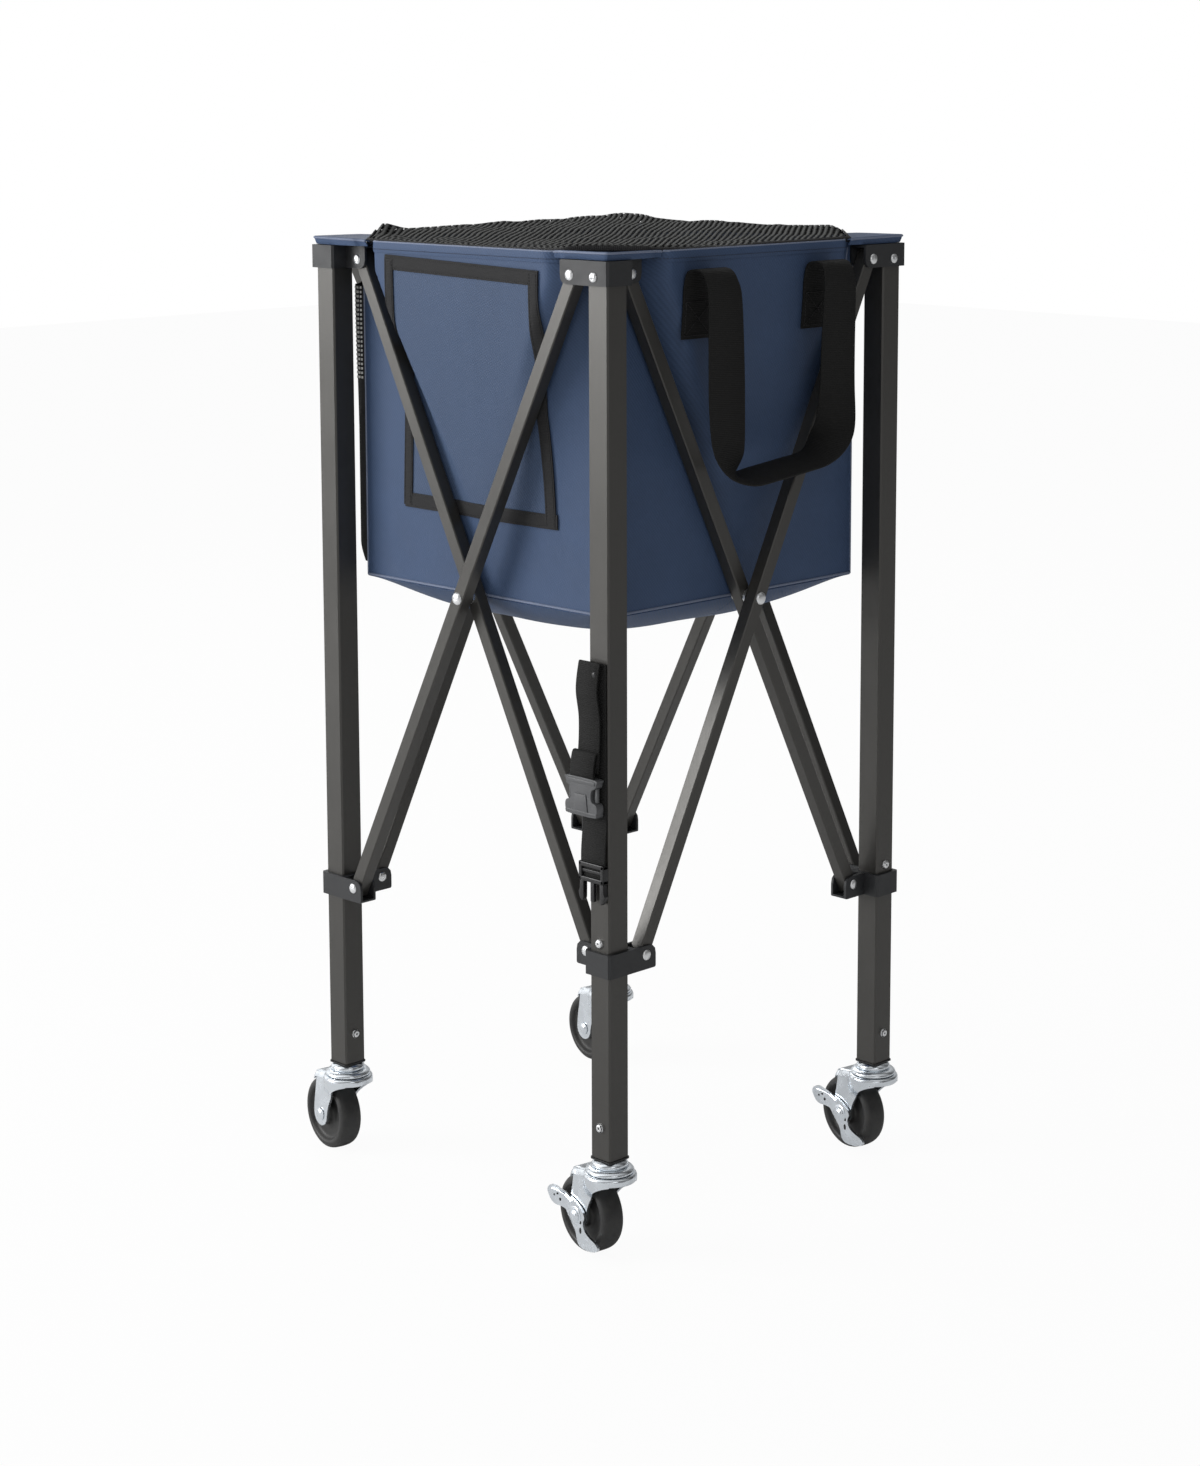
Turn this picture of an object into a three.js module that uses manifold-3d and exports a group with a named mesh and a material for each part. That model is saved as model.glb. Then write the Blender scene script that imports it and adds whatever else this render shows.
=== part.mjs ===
import * as THREE from "three";
import { mergeVertices } from "three/addons/utils/BufferGeometryUtils.js";
import Module from "manifold-3d";

const wasm = await Module();
wasm.setup();

// A folding ball cart: four legs on swivel casters, a scissor pair of bars on each side, and a bag with a lid.
// Everything that repeats is made once for the front right leg, and turned by a quarter for each other leg.
// Sizes are in millimetres. The ground is z = 0, and +X is the cart's right.

// Fits
const clearance = 0.3;
const overrun = 1;
const mergeReach = 0.001;
const quarterTurn = Math.PI / 2;

// Legs
const legSpacing = 377;
const legWidth = 25;
const legWall = 1.2;
const legEdgeRadius = 1.5;
const frameHeight = 825.6;
const stopScrewRise = 205;
const lowScrewRise = 30;
const screwRadius = 2.1;
const screwHeadRadius = 4.2;
const screwHeadHeight = 2;

// Brackets on the leg tops and, turned over, the sliders below
const bracketHeight = 22.2;
const collarWidth = 32.7;
const collarEdgeRadius = 2;
const collarCap = 3;
const sliderPlay = 0.4;
const sliderRise = 174.8;
const ear = 2.6;
const barPlay = 0.2;
const clevisReach = 44;
const clevisRoot = 2.6;
const clevisSetBack = 1;
const clevisFootRadius = 9;
const clevisTopRadius = 2;
const pivotReach = 32;
const pivotDrop = 13.6;
const pinRadius = 3;
const pinPlay = 0.4;

// Scissor bars
const barWidth = 14;
const barDepth = 13.8;
const barWall = 1.2;
const barEdgeRadius = 1;
const barTail = 7;
const rivetRadius = 2.7;
const rivetHeadRadius = 5.8;
const rivetHeadHeight = 1.6;
const rivetTailHeight = 1.1;
const spacerRadius = 7;

// End plugs
const plugDepth = 40;
const plugPlay = 0.4;
const plugFlangeWidth = 27;
const plugFlange = 1.5;
const stemRadius = 5;
const stemPlay = 0.4;
const stemReach = 22;
const stemTipBevel = 1;

// Casters
const wheelRadius = 37.5;
const wheelWidth = 24;
const wheelSides = 24;
const wheelTopGap = 2.4;
const trail = 29;
const casterYaw = THREE.MathUtils.degToRad(-8);
const domeRadius = 13;
const domeHeight = 7.3;
const topDiscRadius = 22.5;
const topDiscHeight = 4.6;
const topDiscPlate = 1.6;
const kingpinRadius = 4;
const kingpinHeadRadius = 8;
const kingpinHeadHeight = 2.5;
const crownRadius = 25;
const crownHeight = 8.3;
const forkPlate = 2.5;
const forkFootRadius = 12;
const forkInside = 27;
const hubPlay = 0.4;
const hubRadius = 11;
const axleRadius = 4;
const axleHeadRadius = 6.8;
const axleHeadHeight = 2.2;
const axleSides = 12;
const treadCrown = 1.7;
const treadShoulder = 4;
const rimWidth = 6;
const webInset = 5;

// Brake levers
const leverPlate = 2.5;
const leverReach = 40;
const leverWasher = 0.7;
const leverBossRadius = 9;
const leverBend = 18;
const leverTilt = 0.35;

// Bag
const cloth = 1.6;
const bagHalf = 168.8;
const bagRecessHalf = 167.2;
const bagRimHalf = 198;
const bagFootRise = 500;
const bagRimRise = 831;
const recessRamp = 17;
const flankWidth = 14;
const flankClearance = 3;
const flapRun = 13;
const flapChamfer = 10;
const wallRowsBelowTabs = 6;
const floorSag = 22;
const creaseGap = 0.6;
const lidHalf = 196;
const lidRise = 7;
const lidShoulder = 4;
const lidSag = 4;
const lidCornerRise = 9;
const lidTapeWidth = 6;
const panelCells = 8;

// Net side pocket
const pocketCloth = 1.2;
const pocketMouth = 14;

// Handle
const webbing = 2.2;
const handleWidth = 40;
const handleSpread = 164;
const handleTabRise = 750;
const handleDrop = 187;
const handleStandOff = 30;
const handleHinge = 2;

// Strap and buckle on the front right leg
const strapWidth = 34;
const strapCloth = 1.6;
const strapTop = 466;
const socketWidth = 41;
const socketLength = 36;
const socketThickness = 9;
const socketFoot = 325;
const prongWidth = 32;
const prongLength = 38;
const prongThickness = 7;
const prongFoot = 243;
const strapInset = 6;
const buckleRadius = 5;
const strapLean = 6;

// Places that follow from the sizes
const legAxis = legSpacing / 2;
const legHalf = legWidth / 2;
const collarHalf = collarWidth / 2;
const clevisWidth = barDepth + 2 * barPlay + 2 * ear;
const outerBarOffset = collarHalf - clevisWidth / 2;
const innerBarOffset = clevisSetBack + clevisWidth / 2;
const plugDrop = clearance + plugFlange;
const domeTop = -plugDrop - clearance;
const domeFoot = domeTop - domeHeight;
const topDiscFoot = domeFoot - topDiscHeight;
const crownTop = topDiscFoot - clearance;
const axleDrop = wheelRadius + wheelTopGap + crownHeight - crownTop;
const axleHeight = wheelRadius * Math.cos(Math.PI / wheelSides);
const legFoot = axleDrop + axleHeight;
const legTop = legFoot + frameHeight - collarCap - clearance;
const bracketTop = legFoot + frameHeight;
const topPivot = bracketTop - pivotDrop;
const sliderPivot = legFoot + sliderRise + pivotDrop;
const pivotSpan = legSpacing - 2 * pivotReach;
const pivotRise = topPivot - sliderPivot;
const barLength = Math.hypot(pivotSpan, pivotRise);
const barAngle = Math.atan2(pivotSpan, pivotRise);
const crossHeight = (topPivot + sliderPivot) / 2;
const bagFoot = legFoot + bagFootRise;
const bagRim = legFoot + bagRimRise;
const tabFoot = legFoot + handleTabRise;
const recessTop = bracketTop - bracketHeight - clearance;
const recessFoot = recessTop - recessRamp;
const reachLeft = legAxis + (trail + wheelRadius) * Math.cos(casterYaw);
const reachRight = bagRimHalf + handleStandOff + handleWidth / 3;

// Finishes
const finish = (color, roughness, metalness) => new THREE.MeshStandardMaterial({ color, roughness, metalness });
const tubePaint = finish(0x4a4946, 0.45, 0.3);
const bracketPlastic = finish(0x3b3b3c, 0.6, 0);
const plugPlastic = finish(0x161617, 0.6, 0);
const plated = finish(0xc9cac8, 0.25, 1);
const wheelRubber = finish(0x262626, 0.75, 0);
const bagCloth = finish(0x4a5a78, 0.6, 0);
const lidMesh = finish(0x5a5a58, 0.85, 0);
const blackWebbing = finish(0x19191a, 0.9, 0);
const bucklePlastic = finish(0x141415, 0.4, 0);

// A closed geometry as a solid, and back
function solidOf(geometry) {
  const bare = geometry.clone();
  bare.deleteAttribute("normal");
  bare.deleteAttribute("uv");
  const merged = mergeVertices(bare, mergeReach);
  const triVerts = new Uint32Array(merged.index.array);
  return new wasm.Manifold(
    new wasm.Mesh({ numProp: 3, vertProperties: merged.attributes.position.array, triVerts }),
  );
}

function geometryOf(solid) {
  const { vertProperties, triVerts } = solid.getMesh();
  const geometry = new THREE.BufferGeometry();
  geometry.setAttribute("position", new THREE.BufferAttribute(vertProperties, 3));
  geometry.setIndex(new THREE.BufferAttribute(triVerts, 1));
  const faceted = geometry.toNonIndexed();
  faceted.computeVertexNormals();
  return faceted;
}

const join = (first, ...more) => geometryOf(more.reduce((sum, one) => sum.add(solidOf(one)), solidOf(first)));
const cut = (first, ...tools) => geometryOf(tools.reduce((rest, one) => rest.subtract(solidOf(one)), solidOf(first)));

// A box between two opposite corners
function slab(low, high) {
  const size = high.map((value, i) => value - low[i]);
  const centre = high.map((value, i) => (value + low[i]) / 2);
  return new THREE.BoxGeometry(...size).translate(...centre);
}

// A polygon of [x, y, radius] corners, each rounded over its radius
function filleted(corners) {
  const shape = new THREE.Shape();
  corners.forEach(([x, y, radius = 0], i) => {
    const corner = new THREE.Vector2(x, y);
    const [backX, backY] = corners.at(i - 1);
    const [nextX, nextY] = corners[(i + 1) % corners.length];
    const enter = new THREE.Vector2(backX, backY).sub(corner).setLength(radius).add(corner);
    const leave = new THREE.Vector2(nextX, nextY).sub(corner).setLength(radius).add(corner);
    if (i === 0) shape.moveTo(enter.x, enter.y);
    else shape.lineTo(enter.x, enter.y);
    if (radius > 0) shape.quadraticCurveTo(x, y, leave.x, leave.y);
  });
  shape.closePath();
  return shape;
}

function roundedRectangle(width, depth, radius) {
  const x = width / 2;
  const y = depth / 2;
  return filleted([
    [-x, -y, radius],
    [x, -y, radius],
    [x, y, radius],
    [-x, y, radius],
  ]);
}

// A shape's prism along Z, along Y with the shape in XZ, and along X with the shape in YZ
function prismZ(shape, low, high, curveSegments = 1) {
  const options = { depth: high - low, bevelEnabled: false, curveSegments };
  return new THREE.ExtrudeGeometry(shape, options).translate(0, 0, low);
}

const prismY = (shape, low, high, steps = 1) => prismZ(shape, -high, -low, steps).rotateX(quarterTurn);
const turnToX = new THREE.Matrix4().makeBasis(
  new THREE.Vector3(0, 1, 0),
  new THREE.Vector3(0, 0, 1),
  new THREE.Vector3(1, 0, 0),
);
const prismX = (shape, low, high, steps = 1) => prismZ(shape, low, high, steps).applyMatrix4(turnToX);

// A round rod along Y
function rodY(radius, low, high, sides = 8) {
  return new THREE.CylinderGeometry(radius, radius, high - low, sides).translate(0, (low + high) / 2, 0);
}

// A profile of [radius, height] points, turned about Y, and the same about Z
function turnedY(profile, sides) {
  return new THREE.LatheGeometry(profile.map(([radius, height]) => new THREE.Vector2(radius, height)), sides);
}

const turnedZ = (profile, sides) => turnedY(profile, sides).rotateX(quarterTurn);

// A sheet of cloth: place(u, v) gives its outer face, and through is the step to its inner face
function sheet(uShares, vShares, place, through) {
  const outer = vShares.map((v) => uShares.map((u) => place(u, v)));
  const inner = outer.map((row) => row.map((point) => point.clone().add(through)));
  const across = outer[0][1].clone().sub(outer[0][0]);
  const along = outer[1][0].clone().sub(outer[0][0]);
  const facesOut = across.cross(along).dot(through) < 0;
  const corners = [];
  const quad = (a, b, c, d) => corners.push(...(facesOut ? [a, b, c, a, c, d] : [a, c, b, a, d, c]));
  const lastRow = vShares.length - 1;
  const lastColumn = uShares.length - 1;
  for (let j = 0; j < lastRow; j++) {
    for (let i = 0; i < lastColumn; i++) {
      quad(outer[j][i], outer[j][i + 1], outer[j + 1][i + 1], outer[j + 1][i]);
      quad(inner[j][i], inner[j + 1][i], inner[j + 1][i + 1], inner[j][i + 1]);
    }
    quad(outer[j][0], outer[j + 1][0], inner[j + 1][0], inner[j][0]);
    quad(outer[j][lastColumn], inner[j][lastColumn], inner[j + 1][lastColumn], outer[j + 1][lastColumn]);
  }
  for (let i = 0; i < lastColumn; i++) {
    quad(outer[0][i], inner[0][i], inner[0][i + 1], outer[0][i + 1]);
    quad(outer[lastRow][i], outer[lastRow][i + 1], inner[lastRow][i + 1], inner[lastRow][i]);
  }
  const geometry = new THREE.BufferGeometry().setFromPoints(corners);
  geometry.computeVertexNormals();
  return geometry;
}

// A webbing strap through stations of a point and a width direction
function ribbon(stations, width, thickness) {
  const rings = stations.map(({ point, across }, i) => {
    const before = stations[Math.max(i - 1, 0)].point;
    const after = stations[Math.min(i + 1, stations.length - 1)].point;
    const side = across.clone().normalize();
    const face = after.clone().sub(before).cross(side).normalize();
    return [[-1, -1], [1, -1], [1, 1], [-1, 1]].map(([a, b]) =>
      point.clone().addScaledVector(side, (a * width) / 2).addScaledVector(face, (b * thickness) / 2),
    );
  });
  const corners = [];
  const quad = (a, b, c, d) => corners.push(a, b, c, a, c, d);
  rings.slice(1).forEach((ring, i) => {
    ring.forEach((point, k) => {
      const next = (k + 1) % ring.length;
      const square = [rings[i][k], rings[i][next], ring[next], point];
      // Both faces split along the same diagonal, so that a twist keeps its thickness
      if (k >= 2) square.push(square.shift());
      quad(...square);
    });
  });
  const [first, last] = [rings[0], rings.at(-1)];
  quad(first[3], first[2], first[1], first[0]);
  quad(last[0], last[1], last[2], last[3]);
  const geometry = new THREE.BufferGeometry().setFromPoints(corners);
  geometry.computeVertexNormals();
  return geometry;
}

const evenShares = (cells) => Array.from({ length: cells + 1 }, (_, i) => i / cells);
const ease = (share) => (1 - Math.cos(Math.PI * THREE.MathUtils.clamp(share, 0, 1))) / 2;
const mix = THREE.MathUtils.lerp;

// Legs, with the origin on the leg's axis at its lower end

function screwThrough(halfWidth) {
  const seat = halfWidth + clearance;
  return join(
    rodY(screwRadius, -seat - overrun, seat + overrun),
    rodY(screwHeadRadius, seat, seat + screwHeadHeight),
    rodY(screwHeadRadius, -seat - screwHeadHeight, -seat),
  );
}

function legTube() {
  const top = legTop - legFoot;
  const bore = legWidth - 2 * legWall;
  const tube = cut(
    prismZ(roundedRectangle(legWidth, legWidth, legEdgeRadius), 0, top),
    prismZ(roundedRectangle(bore, bore, legEdgeRadius - legWall + clearance), -overrun, top + overrun),
    rodY(screwRadius + clearance, -legWidth, legWidth).translate(0, 0, lowScrewRise),
  );
  const stop = join(
    rodY(screwHeadRadius, -legHalf - screwHeadHeight, -legHalf + legWall / 2),
    rodY(screwRadius, -legHalf, -legHalf + 2 * screwHeadHeight),
  );
  return join(tube, stop.translate(0, 0, stopScrewRise));
}

// Bracket with its top face at z = 0: the flush clevis reaches towards -X, the set-back one towards +Y
function bracket(boreWidth, boreTop) {
  const innerReach = collarHalf - clevisRoot;
  const clevisOutline = (sign) =>
    filleted([
      [sign * innerReach, 0],
      [sign * innerReach, -bracketHeight],
      [sign * clevisReach, -bracketHeight, clevisFootRadius],
      [sign * clevisReach, 0, clevisTopRadius],
    ]);
  const flushLow = -collarHalf;
  const backHigh = -clevisSetBack;
  const backLow = backHigh - clevisWidth;
  const solid = join(
    prismZ(roundedRectangle(collarWidth, collarWidth, collarEdgeRadius), -bracketHeight, 0),
    prismY(clevisOutline(-1), flushLow, flushLow + clevisWidth, 3),
    prismX(clevisOutline(1), backLow, backHigh, 3),
  );
  const slotStart = collarHalf + clevisRoot;
  const slotEnd = clevisReach + overrun;
  const slotFoot = -bracketHeight - overrun;
  const hollow = cut(
    solid,
    prismZ(roundedRectangle(boreWidth, boreWidth, legEdgeRadius), -bracketHeight - overrun, boreTop),
    slab([-slotEnd, flushLow + ear, slotFoot], [-slotStart, flushLow + clevisWidth - ear, -ear]),
    slab([backLow + ear, slotStart, slotFoot], [backHigh - ear, slotEnd, -ear]),
  );
  const pin = rodY(pinRadius, flushLow, flushLow + clevisWidth);
  const backPin = rodY(pinRadius, backLow, backHigh).rotateZ(-quarterTurn);
  return join(
    hollow,
    pin.translate(-pivotReach, 0, -pivotDrop),
    backPin.translate(0, pivotReach, -pivotDrop),
  );
}

const topBracket = () => bracket(legWidth + 2 * clearance, -collarCap);
const sliderBracket = () => bracket(legWidth + 2 * sliderPlay, overrun);

// A bar hangs from its top pivot along -Z, with its face holes along Y
function scissorBar() {
  const low = -barLength - barTail;
  const inside = roundedRectangle(barWidth - 2 * barWall, barDepth - 2 * barWall, barEdgeRadius / 2);
  const hole = (radius, z) => rodY(radius, -barDepth, barDepth).translate(0, 0, z);
  return cut(
    prismZ(roundedRectangle(barWidth, barDepth, barEdgeRadius), low, barTail),
    prismZ(inside, low - overrun, barTail + overrun),
    hole(pinRadius + pinPlay, 0),
    hole(rivetRadius + pinPlay, -barLength / 2),
    hole(pinRadius + pinPlay, -barLength),
  );
}

// Rivet, spacer and heads where two bars cross, along Y with the leg plane at y = 0
function crossRivet() {
  const outerFace = -outerBarOffset - barDepth / 2 - clearance;
  const spacerLow = -outerBarOffset + barDepth / 2 + clearance;
  const spacerHigh = innerBarOffset - barDepth / 2 - clearance;
  const innerFace = innerBarOffset + barDepth / 2 + clearance;
  return turnedY(
    [
      [0, outerFace - rivetHeadHeight],
      [rivetHeadRadius * 0.7, outerFace - rivetHeadHeight],
      [rivetHeadRadius, outerFace - rivetHeadHeight / 3],
      [rivetHeadRadius, outerFace],
      [rivetRadius, outerFace],
      [rivetRadius, spacerLow],
      [spacerRadius, spacerLow],
      [spacerRadius, spacerHigh],
      [rivetRadius, spacerHigh],
      [rivetRadius, innerFace],
      [rivetHeadRadius, innerFace],
      [rivetHeadRadius, innerFace + rivetTailHeight],
      [0, innerFace + rivetTailHeight],
    ],
    10,
  );
}

// Plug in the leg's lower end, with the low screw through it
function endPlug() {
  const insert = legWidth - 2 * legWall - 2 * plugPlay;
  const body = join(
    prismZ(roundedRectangle(insert, insert, legEdgeRadius), -plugDrop + plugFlange / 2, plugDepth),
    prismZ(roundedRectangle(plugFlangeWidth, plugFlangeWidth, collarEdgeRadius), -plugDrop, -clearance),
  );
  const bore = new THREE.CylinderGeometry(
    stemRadius + stemPlay,
    stemRadius + stemPlay,
    stemReach + plugDrop + 2 * overrun,
    12,
  );
  const hollow = cut(body, bore.rotateX(quarterTurn).translate(0, 0, (stemReach - plugDrop) / 2));
  return join(hollow, screwThrough(legHalf).translate(0, 0, lowScrewRise));
}

// Caster head: stem, domed nut, dished top disc and kingpin, about the swivel axis
function casterHead() {
  const plateUnder = domeFoot - topDiscPlate;
  const kingpinHeadTop = crownTop - forkPlate - clearance;
  return turnedZ(
    [
      [0, kingpinHeadTop - kingpinHeadHeight],
      [kingpinHeadRadius * 0.8, kingpinHeadTop - kingpinHeadHeight],
      [kingpinHeadRadius, kingpinHeadTop],
      [kingpinRadius, kingpinHeadTop],
      [kingpinRadius, plateUnder],
      [topDiscRadius - 2 * topDiscPlate, plateUnder],
      [topDiscRadius - topDiscPlate, topDiscFoot],
      [topDiscRadius, topDiscFoot],
      [topDiscRadius, topDiscFoot + topDiscPlate],
      [topDiscRadius - 2 * topDiscPlate, domeFoot],
      [domeRadius * 0.86, domeFoot],
      [domeRadius, domeFoot + domeHeight * 0.35],
      [domeRadius * 0.92, domeFoot + domeHeight * 0.7],
      [domeRadius * 0.68, domeTop],
      [stemRadius, domeTop],
      [stemRadius, stemReach - stemTipBevel],
      [stemRadius - stemTipBevel, stemReach],
      [0, stemReach],
    ],
    16,
  );
}

// Fork side as shares of the trail from the swivel axis, and of the rise from the axle to the crown
const forkFrontShares = [
  [0.47, 0.22],
  [0.27, 0.39],
  [0, 0.58],
  [-0.34, 0.74],
  [-0.69, 0.83],
  [-0.69, 0.91],
];
const forkRearShares = [
  [1.17, 0.91],
  [1.29, 0.73],
  [1.39, 0.29],
];

function casterFork() {
  const rise = axleDrop + crownTop;
  const place = ([trailShare, riseShare]) => new THREE.Vector2(-trailShare * trail, -axleDrop + riseShare * rise);
  const side = new THREE.Shape();
  side.setFromPoints(forkFrontShares.concat(forkRearShares).map(place));
  side.absarc(-trail, -axleDrop, forkFootRadius, Math.PI, 2 * Math.PI, false);
  const inner = forkInside / 2;
  const outer = inner + forkPlate;
  const under = crownTop - forkPlate;
  const skirtFoot = crownTop - crownHeight;
  const crown = turnedZ(
    [
      [kingpinRadius + stemPlay, crownTop],
      [kingpinRadius + stemPlay, under],
      [crownRadius - forkPlate, under],
      [crownRadius - forkPlate, skirtFoot],
      [crownRadius, skirtFoot],
      [crownRadius, crownTop - overrun],
      [crownRadius - overrun, crownTop],
      [kingpinRadius + stemPlay, crownTop],
    ],
    20,
  );
  const bridgeTop = -axleDrop + forkRearShares[0][1] * rise;
  const bridge = slab(
    [-forkRearShares[0][0] * trail, -outer, bridgeTop - forkPlate],
    [-kingpinHeadRadius - forkPlate, outer, bridgeTop],
  );
  const axleHole = rodY(axleRadius + clearance, -2 * outer, 2 * outer, axleSides).translate(-trail, 0, -axleDrop);
  const plates = [prismY(side, inner, outer, 4), prismY(side, -outer, -inner, 4)];
  return cut(join(crown, ...plates, bridge), axleHole);
}

// Wheel about Y: a crowned tread, a rim ring, a recessed web and a hub
function casterWheel() {
  const half = wheelWidth / 2;
  const hubHalf = forkInside / 2 - hubPlay;
  const bore = axleRadius + hubPlay;
  const rim = wheelRadius - rimWidth;
  const side = [
    [bore, hubHalf],
    [hubRadius, hubHalf],
    [hubRadius, half - webInset],
    [rim, half - webInset],
    [rim, half],
    [wheelRadius - treadCrown, half],
    [wheelRadius, half - treadShoulder],
  ];
  const mirrored = side.map(([radius, y]) => [radius, -y]);
  const profile = [...mirrored, ...side.reverse(), mirrored[0]];
  return turnedY(profile, wheelSides).rotateY(Math.PI / wheelSides);
}

// Axle bolt along Y, longer on the side that carries a brake lever
function casterAxle(braked) {
  const outer = forkInside / 2 + forkPlate + clearance;
  const near = braked ? outer + leverWasher + leverPlate + clearance : outer;
  const crest = axleHeadRadius - axleHeadHeight / 2;
  return turnedY(
    [
      [0, -near - axleHeadHeight],
      [crest, -near - axleHeadHeight],
      [axleHeadRadius, -near - axleHeadHeight / 2],
      [axleHeadRadius, -near],
      [axleRadius, -near],
      [axleRadius, outer],
      [axleHeadRadius, outer],
      [axleHeadRadius, outer + axleHeadHeight / 2],
      [crest, outer + axleHeadHeight],
      [0, outer + axleHeadHeight],
    ],
    axleSides,
  );
}

// Lever outline about the axle, as shares of its reach: the pedal is to the rear, the foot is to the front
const leverOutlineShares = [
  [1, 0.39],
  [0.92, 0.54],
  [0.72, 0.59],
  [0.45, 0.5],
  [0.2, 0.42],
  [-0.1, 0.3],
  [-0.37, 0.1],
  [-0.23, -0.03],
  [-0.24, -0.24],
  [-0.42, -0.33],
  [-0.68, -0.39],
  [-0.8, -0.45],
  [-0.75, -0.58],
  [-0.5, -0.71],
  [-0.23, -0.7],
  [-0.1, -0.58],
  [-0.06, -0.34],
  [0.17, -0.25],
  [0.31, -0.05],
  [0.45, 0.14],
  [0.72, 0.19],
  [0.95, 0.23],
];

function brakeLever() {
  const shape = new THREE.Shape(
    leverOutlineShares.map(([rear, up]) => new THREE.Vector2(-rear * leverReach, up * leverReach)),
  );
  const seat = -forkInside / 2 - forkPlate - clearance;
  const face = seat - leverWasher;
  const blade = prismY(shape, face - leverPlate, face);
  const washer = rodY(leverBossRadius, face - leverPlate / 2, seat);
  const arm = cut(blade, slab([-2 * leverReach, 2 * face, -leverReach], [-leverBend, 0, leverReach]));
  const pedal = cut(blade, slab([-leverBend, 2 * face, -leverReach], [leverReach, 0, leverReach]));
  const position = pedal.attributes.position;
  for (let i = 0; i < position.count; i++) {
    const past = Math.max(0, -position.getX(i) - leverBend);
    position.setY(i, position.getY(i) - leverTilt * past);
  }
  return cut(join(arm, pedal, washer), rodY(axleRadius + clearance, 2 * face, overrun, axleSides));
}

// Bag walls, seen from the front: s runs along the wall and z up it

// Half width of the bag at its corners, a little less behind the brackets
function cornerHalf(z) {
  return mix(bagHalf, bagRecessHalf, THREE.MathUtils.clamp((z - recessFoot) / recessRamp, 0, 1));
}

// How far the space between the bars and brackets reaches from the middle of a side
function openHalf(z) {
  const barCentre = legAxis - pivotReach - (topPivot - z) * Math.tan(barAngle);
  const barEdge = barCentre - barWidth / 2 / Math.cos(barAngle);
  return Math.min(barEdge, legAxis - clevisReach) - flankClearance;
}

// The wall swells outwards in that space, more towards the rim
function wallReach(s, z) {
  const plateau = ease((openHalf(z) - Math.abs(s)) / flankWidth);
  const rise = ease((z - crossHeight) / (bagRim - crossHeight));
  return mix(cornerHalf(z), bagRimHalf, rise * plateau);
}

// Rows of the wall's surface, and its columns at one row, which follow the bars
const wallRows = [
  ...evenShares(wallRowsBelowTabs).map((share) => mix(bagFoot, tabFoot, share)),
  recessFoot,
  recessTop,
  bagRim,
];

function wallColumns(z) {
  const corner = cornerHalf(z);
  const flank = Math.max(openHalf(z), 2 * flankWidth);
  const half = [(flank - flankWidth) / 2, flank - flankWidth, flank - flankWidth / 2, flank];
  return [cloth + clearance - corner, ...half.map((s) => -s).reverse(), 0, ...half, corner];
}

const wallColumnCount = wallColumns(bagRim).length;

// A sheet on the wall's surface from one column and row to others, standing off it by standOff(u, v)
function sheetOnWall(columns, rows, thickness, standOff) {
  const [firstColumn, lastColumn] = columns;
  const [firstRow, lastRow] = rows;
  return sheet(
    evenShares(lastColumn - firstColumn),
    evenShares(lastRow - firstRow),
    (u, v) => {
      const z = wallRows[Math.round(mix(firstRow, lastRow, v))];
      const s = wallColumns(z)[Math.round(mix(firstColumn, lastColumn, u))];
      return new THREE.Vector3(s, -wallReach(s, z) - standOff(u, v), z);
    },
    new THREE.Vector3(0, thickness, 0),
  );
}

function bagWall() {
  const panel = sheetOnWall([0, wallColumnCount - 1], [0, wallRows.length - 1], cloth, () => 0);
  const seam = bagRecessHalf - cloth / 2;
  const side = bagRecessHalf + clearance;
  const earEnd = legAxis - clevisReach;
  const start = earEnd - flapRun;
  const end = -earEnd + flankClearance / 2;
  const bevel = bagRimHalf - flapChamfer;
  const inner = [
    [start, -seam],
    [mix(start, seam, 0.5), -seam],
    [seam, -seam],
    [side, -seam + cloth / 2],
    [side, mix(-seam, end, 0.5)],
    [side, end],
  ];
  const outer = [
    [start, -bagRimHalf],
    [mix(start, bevel, 0.5), -bagRimHalf],
    [bevel, -bagRimHalf],
    [bagRimHalf, -bevel],
    [bagRimHalf, mix(-bevel, end, 0.5)],
    [bagRimHalf, end],
  ];
  const low = bracketTop + cloth + clearance;
  const flap = sheet(
    evenShares(inner.length - 1),
    evenShares(2),
    (u, v) => {
      const i = Math.round(u * (inner.length - 1));
      const x = mix(inner[i][0], outer[i][0], v);
      const y = mix(inner[i][1], outer[i][1], v);
      return new THREE.Vector3(x, y, mix(low, bagRim, v * v));
    },
    new THREE.Vector3(0, 0, -cloth),
  );
  return join(panel, flap);
}

// Half of the floor, from its hinge edge at y = 0 towards +Y, under the walls
function floorHalf() {
  const half = bagHalf;
  return sheet(
    evenShares(panelCells),
    evenShares(panelCells / 2),
    (u, v) => {
      const x = mix(-half, half, u);
      const y = mix(0, half - creaseGap / 2, v);
      return new THREE.Vector3(x, y, -floorSag * Math.sin(Math.PI * u) * Math.sin(quarterTurn * v));
    },
    new THREE.Vector3(0, 0, -cloth),
  );
}

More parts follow.
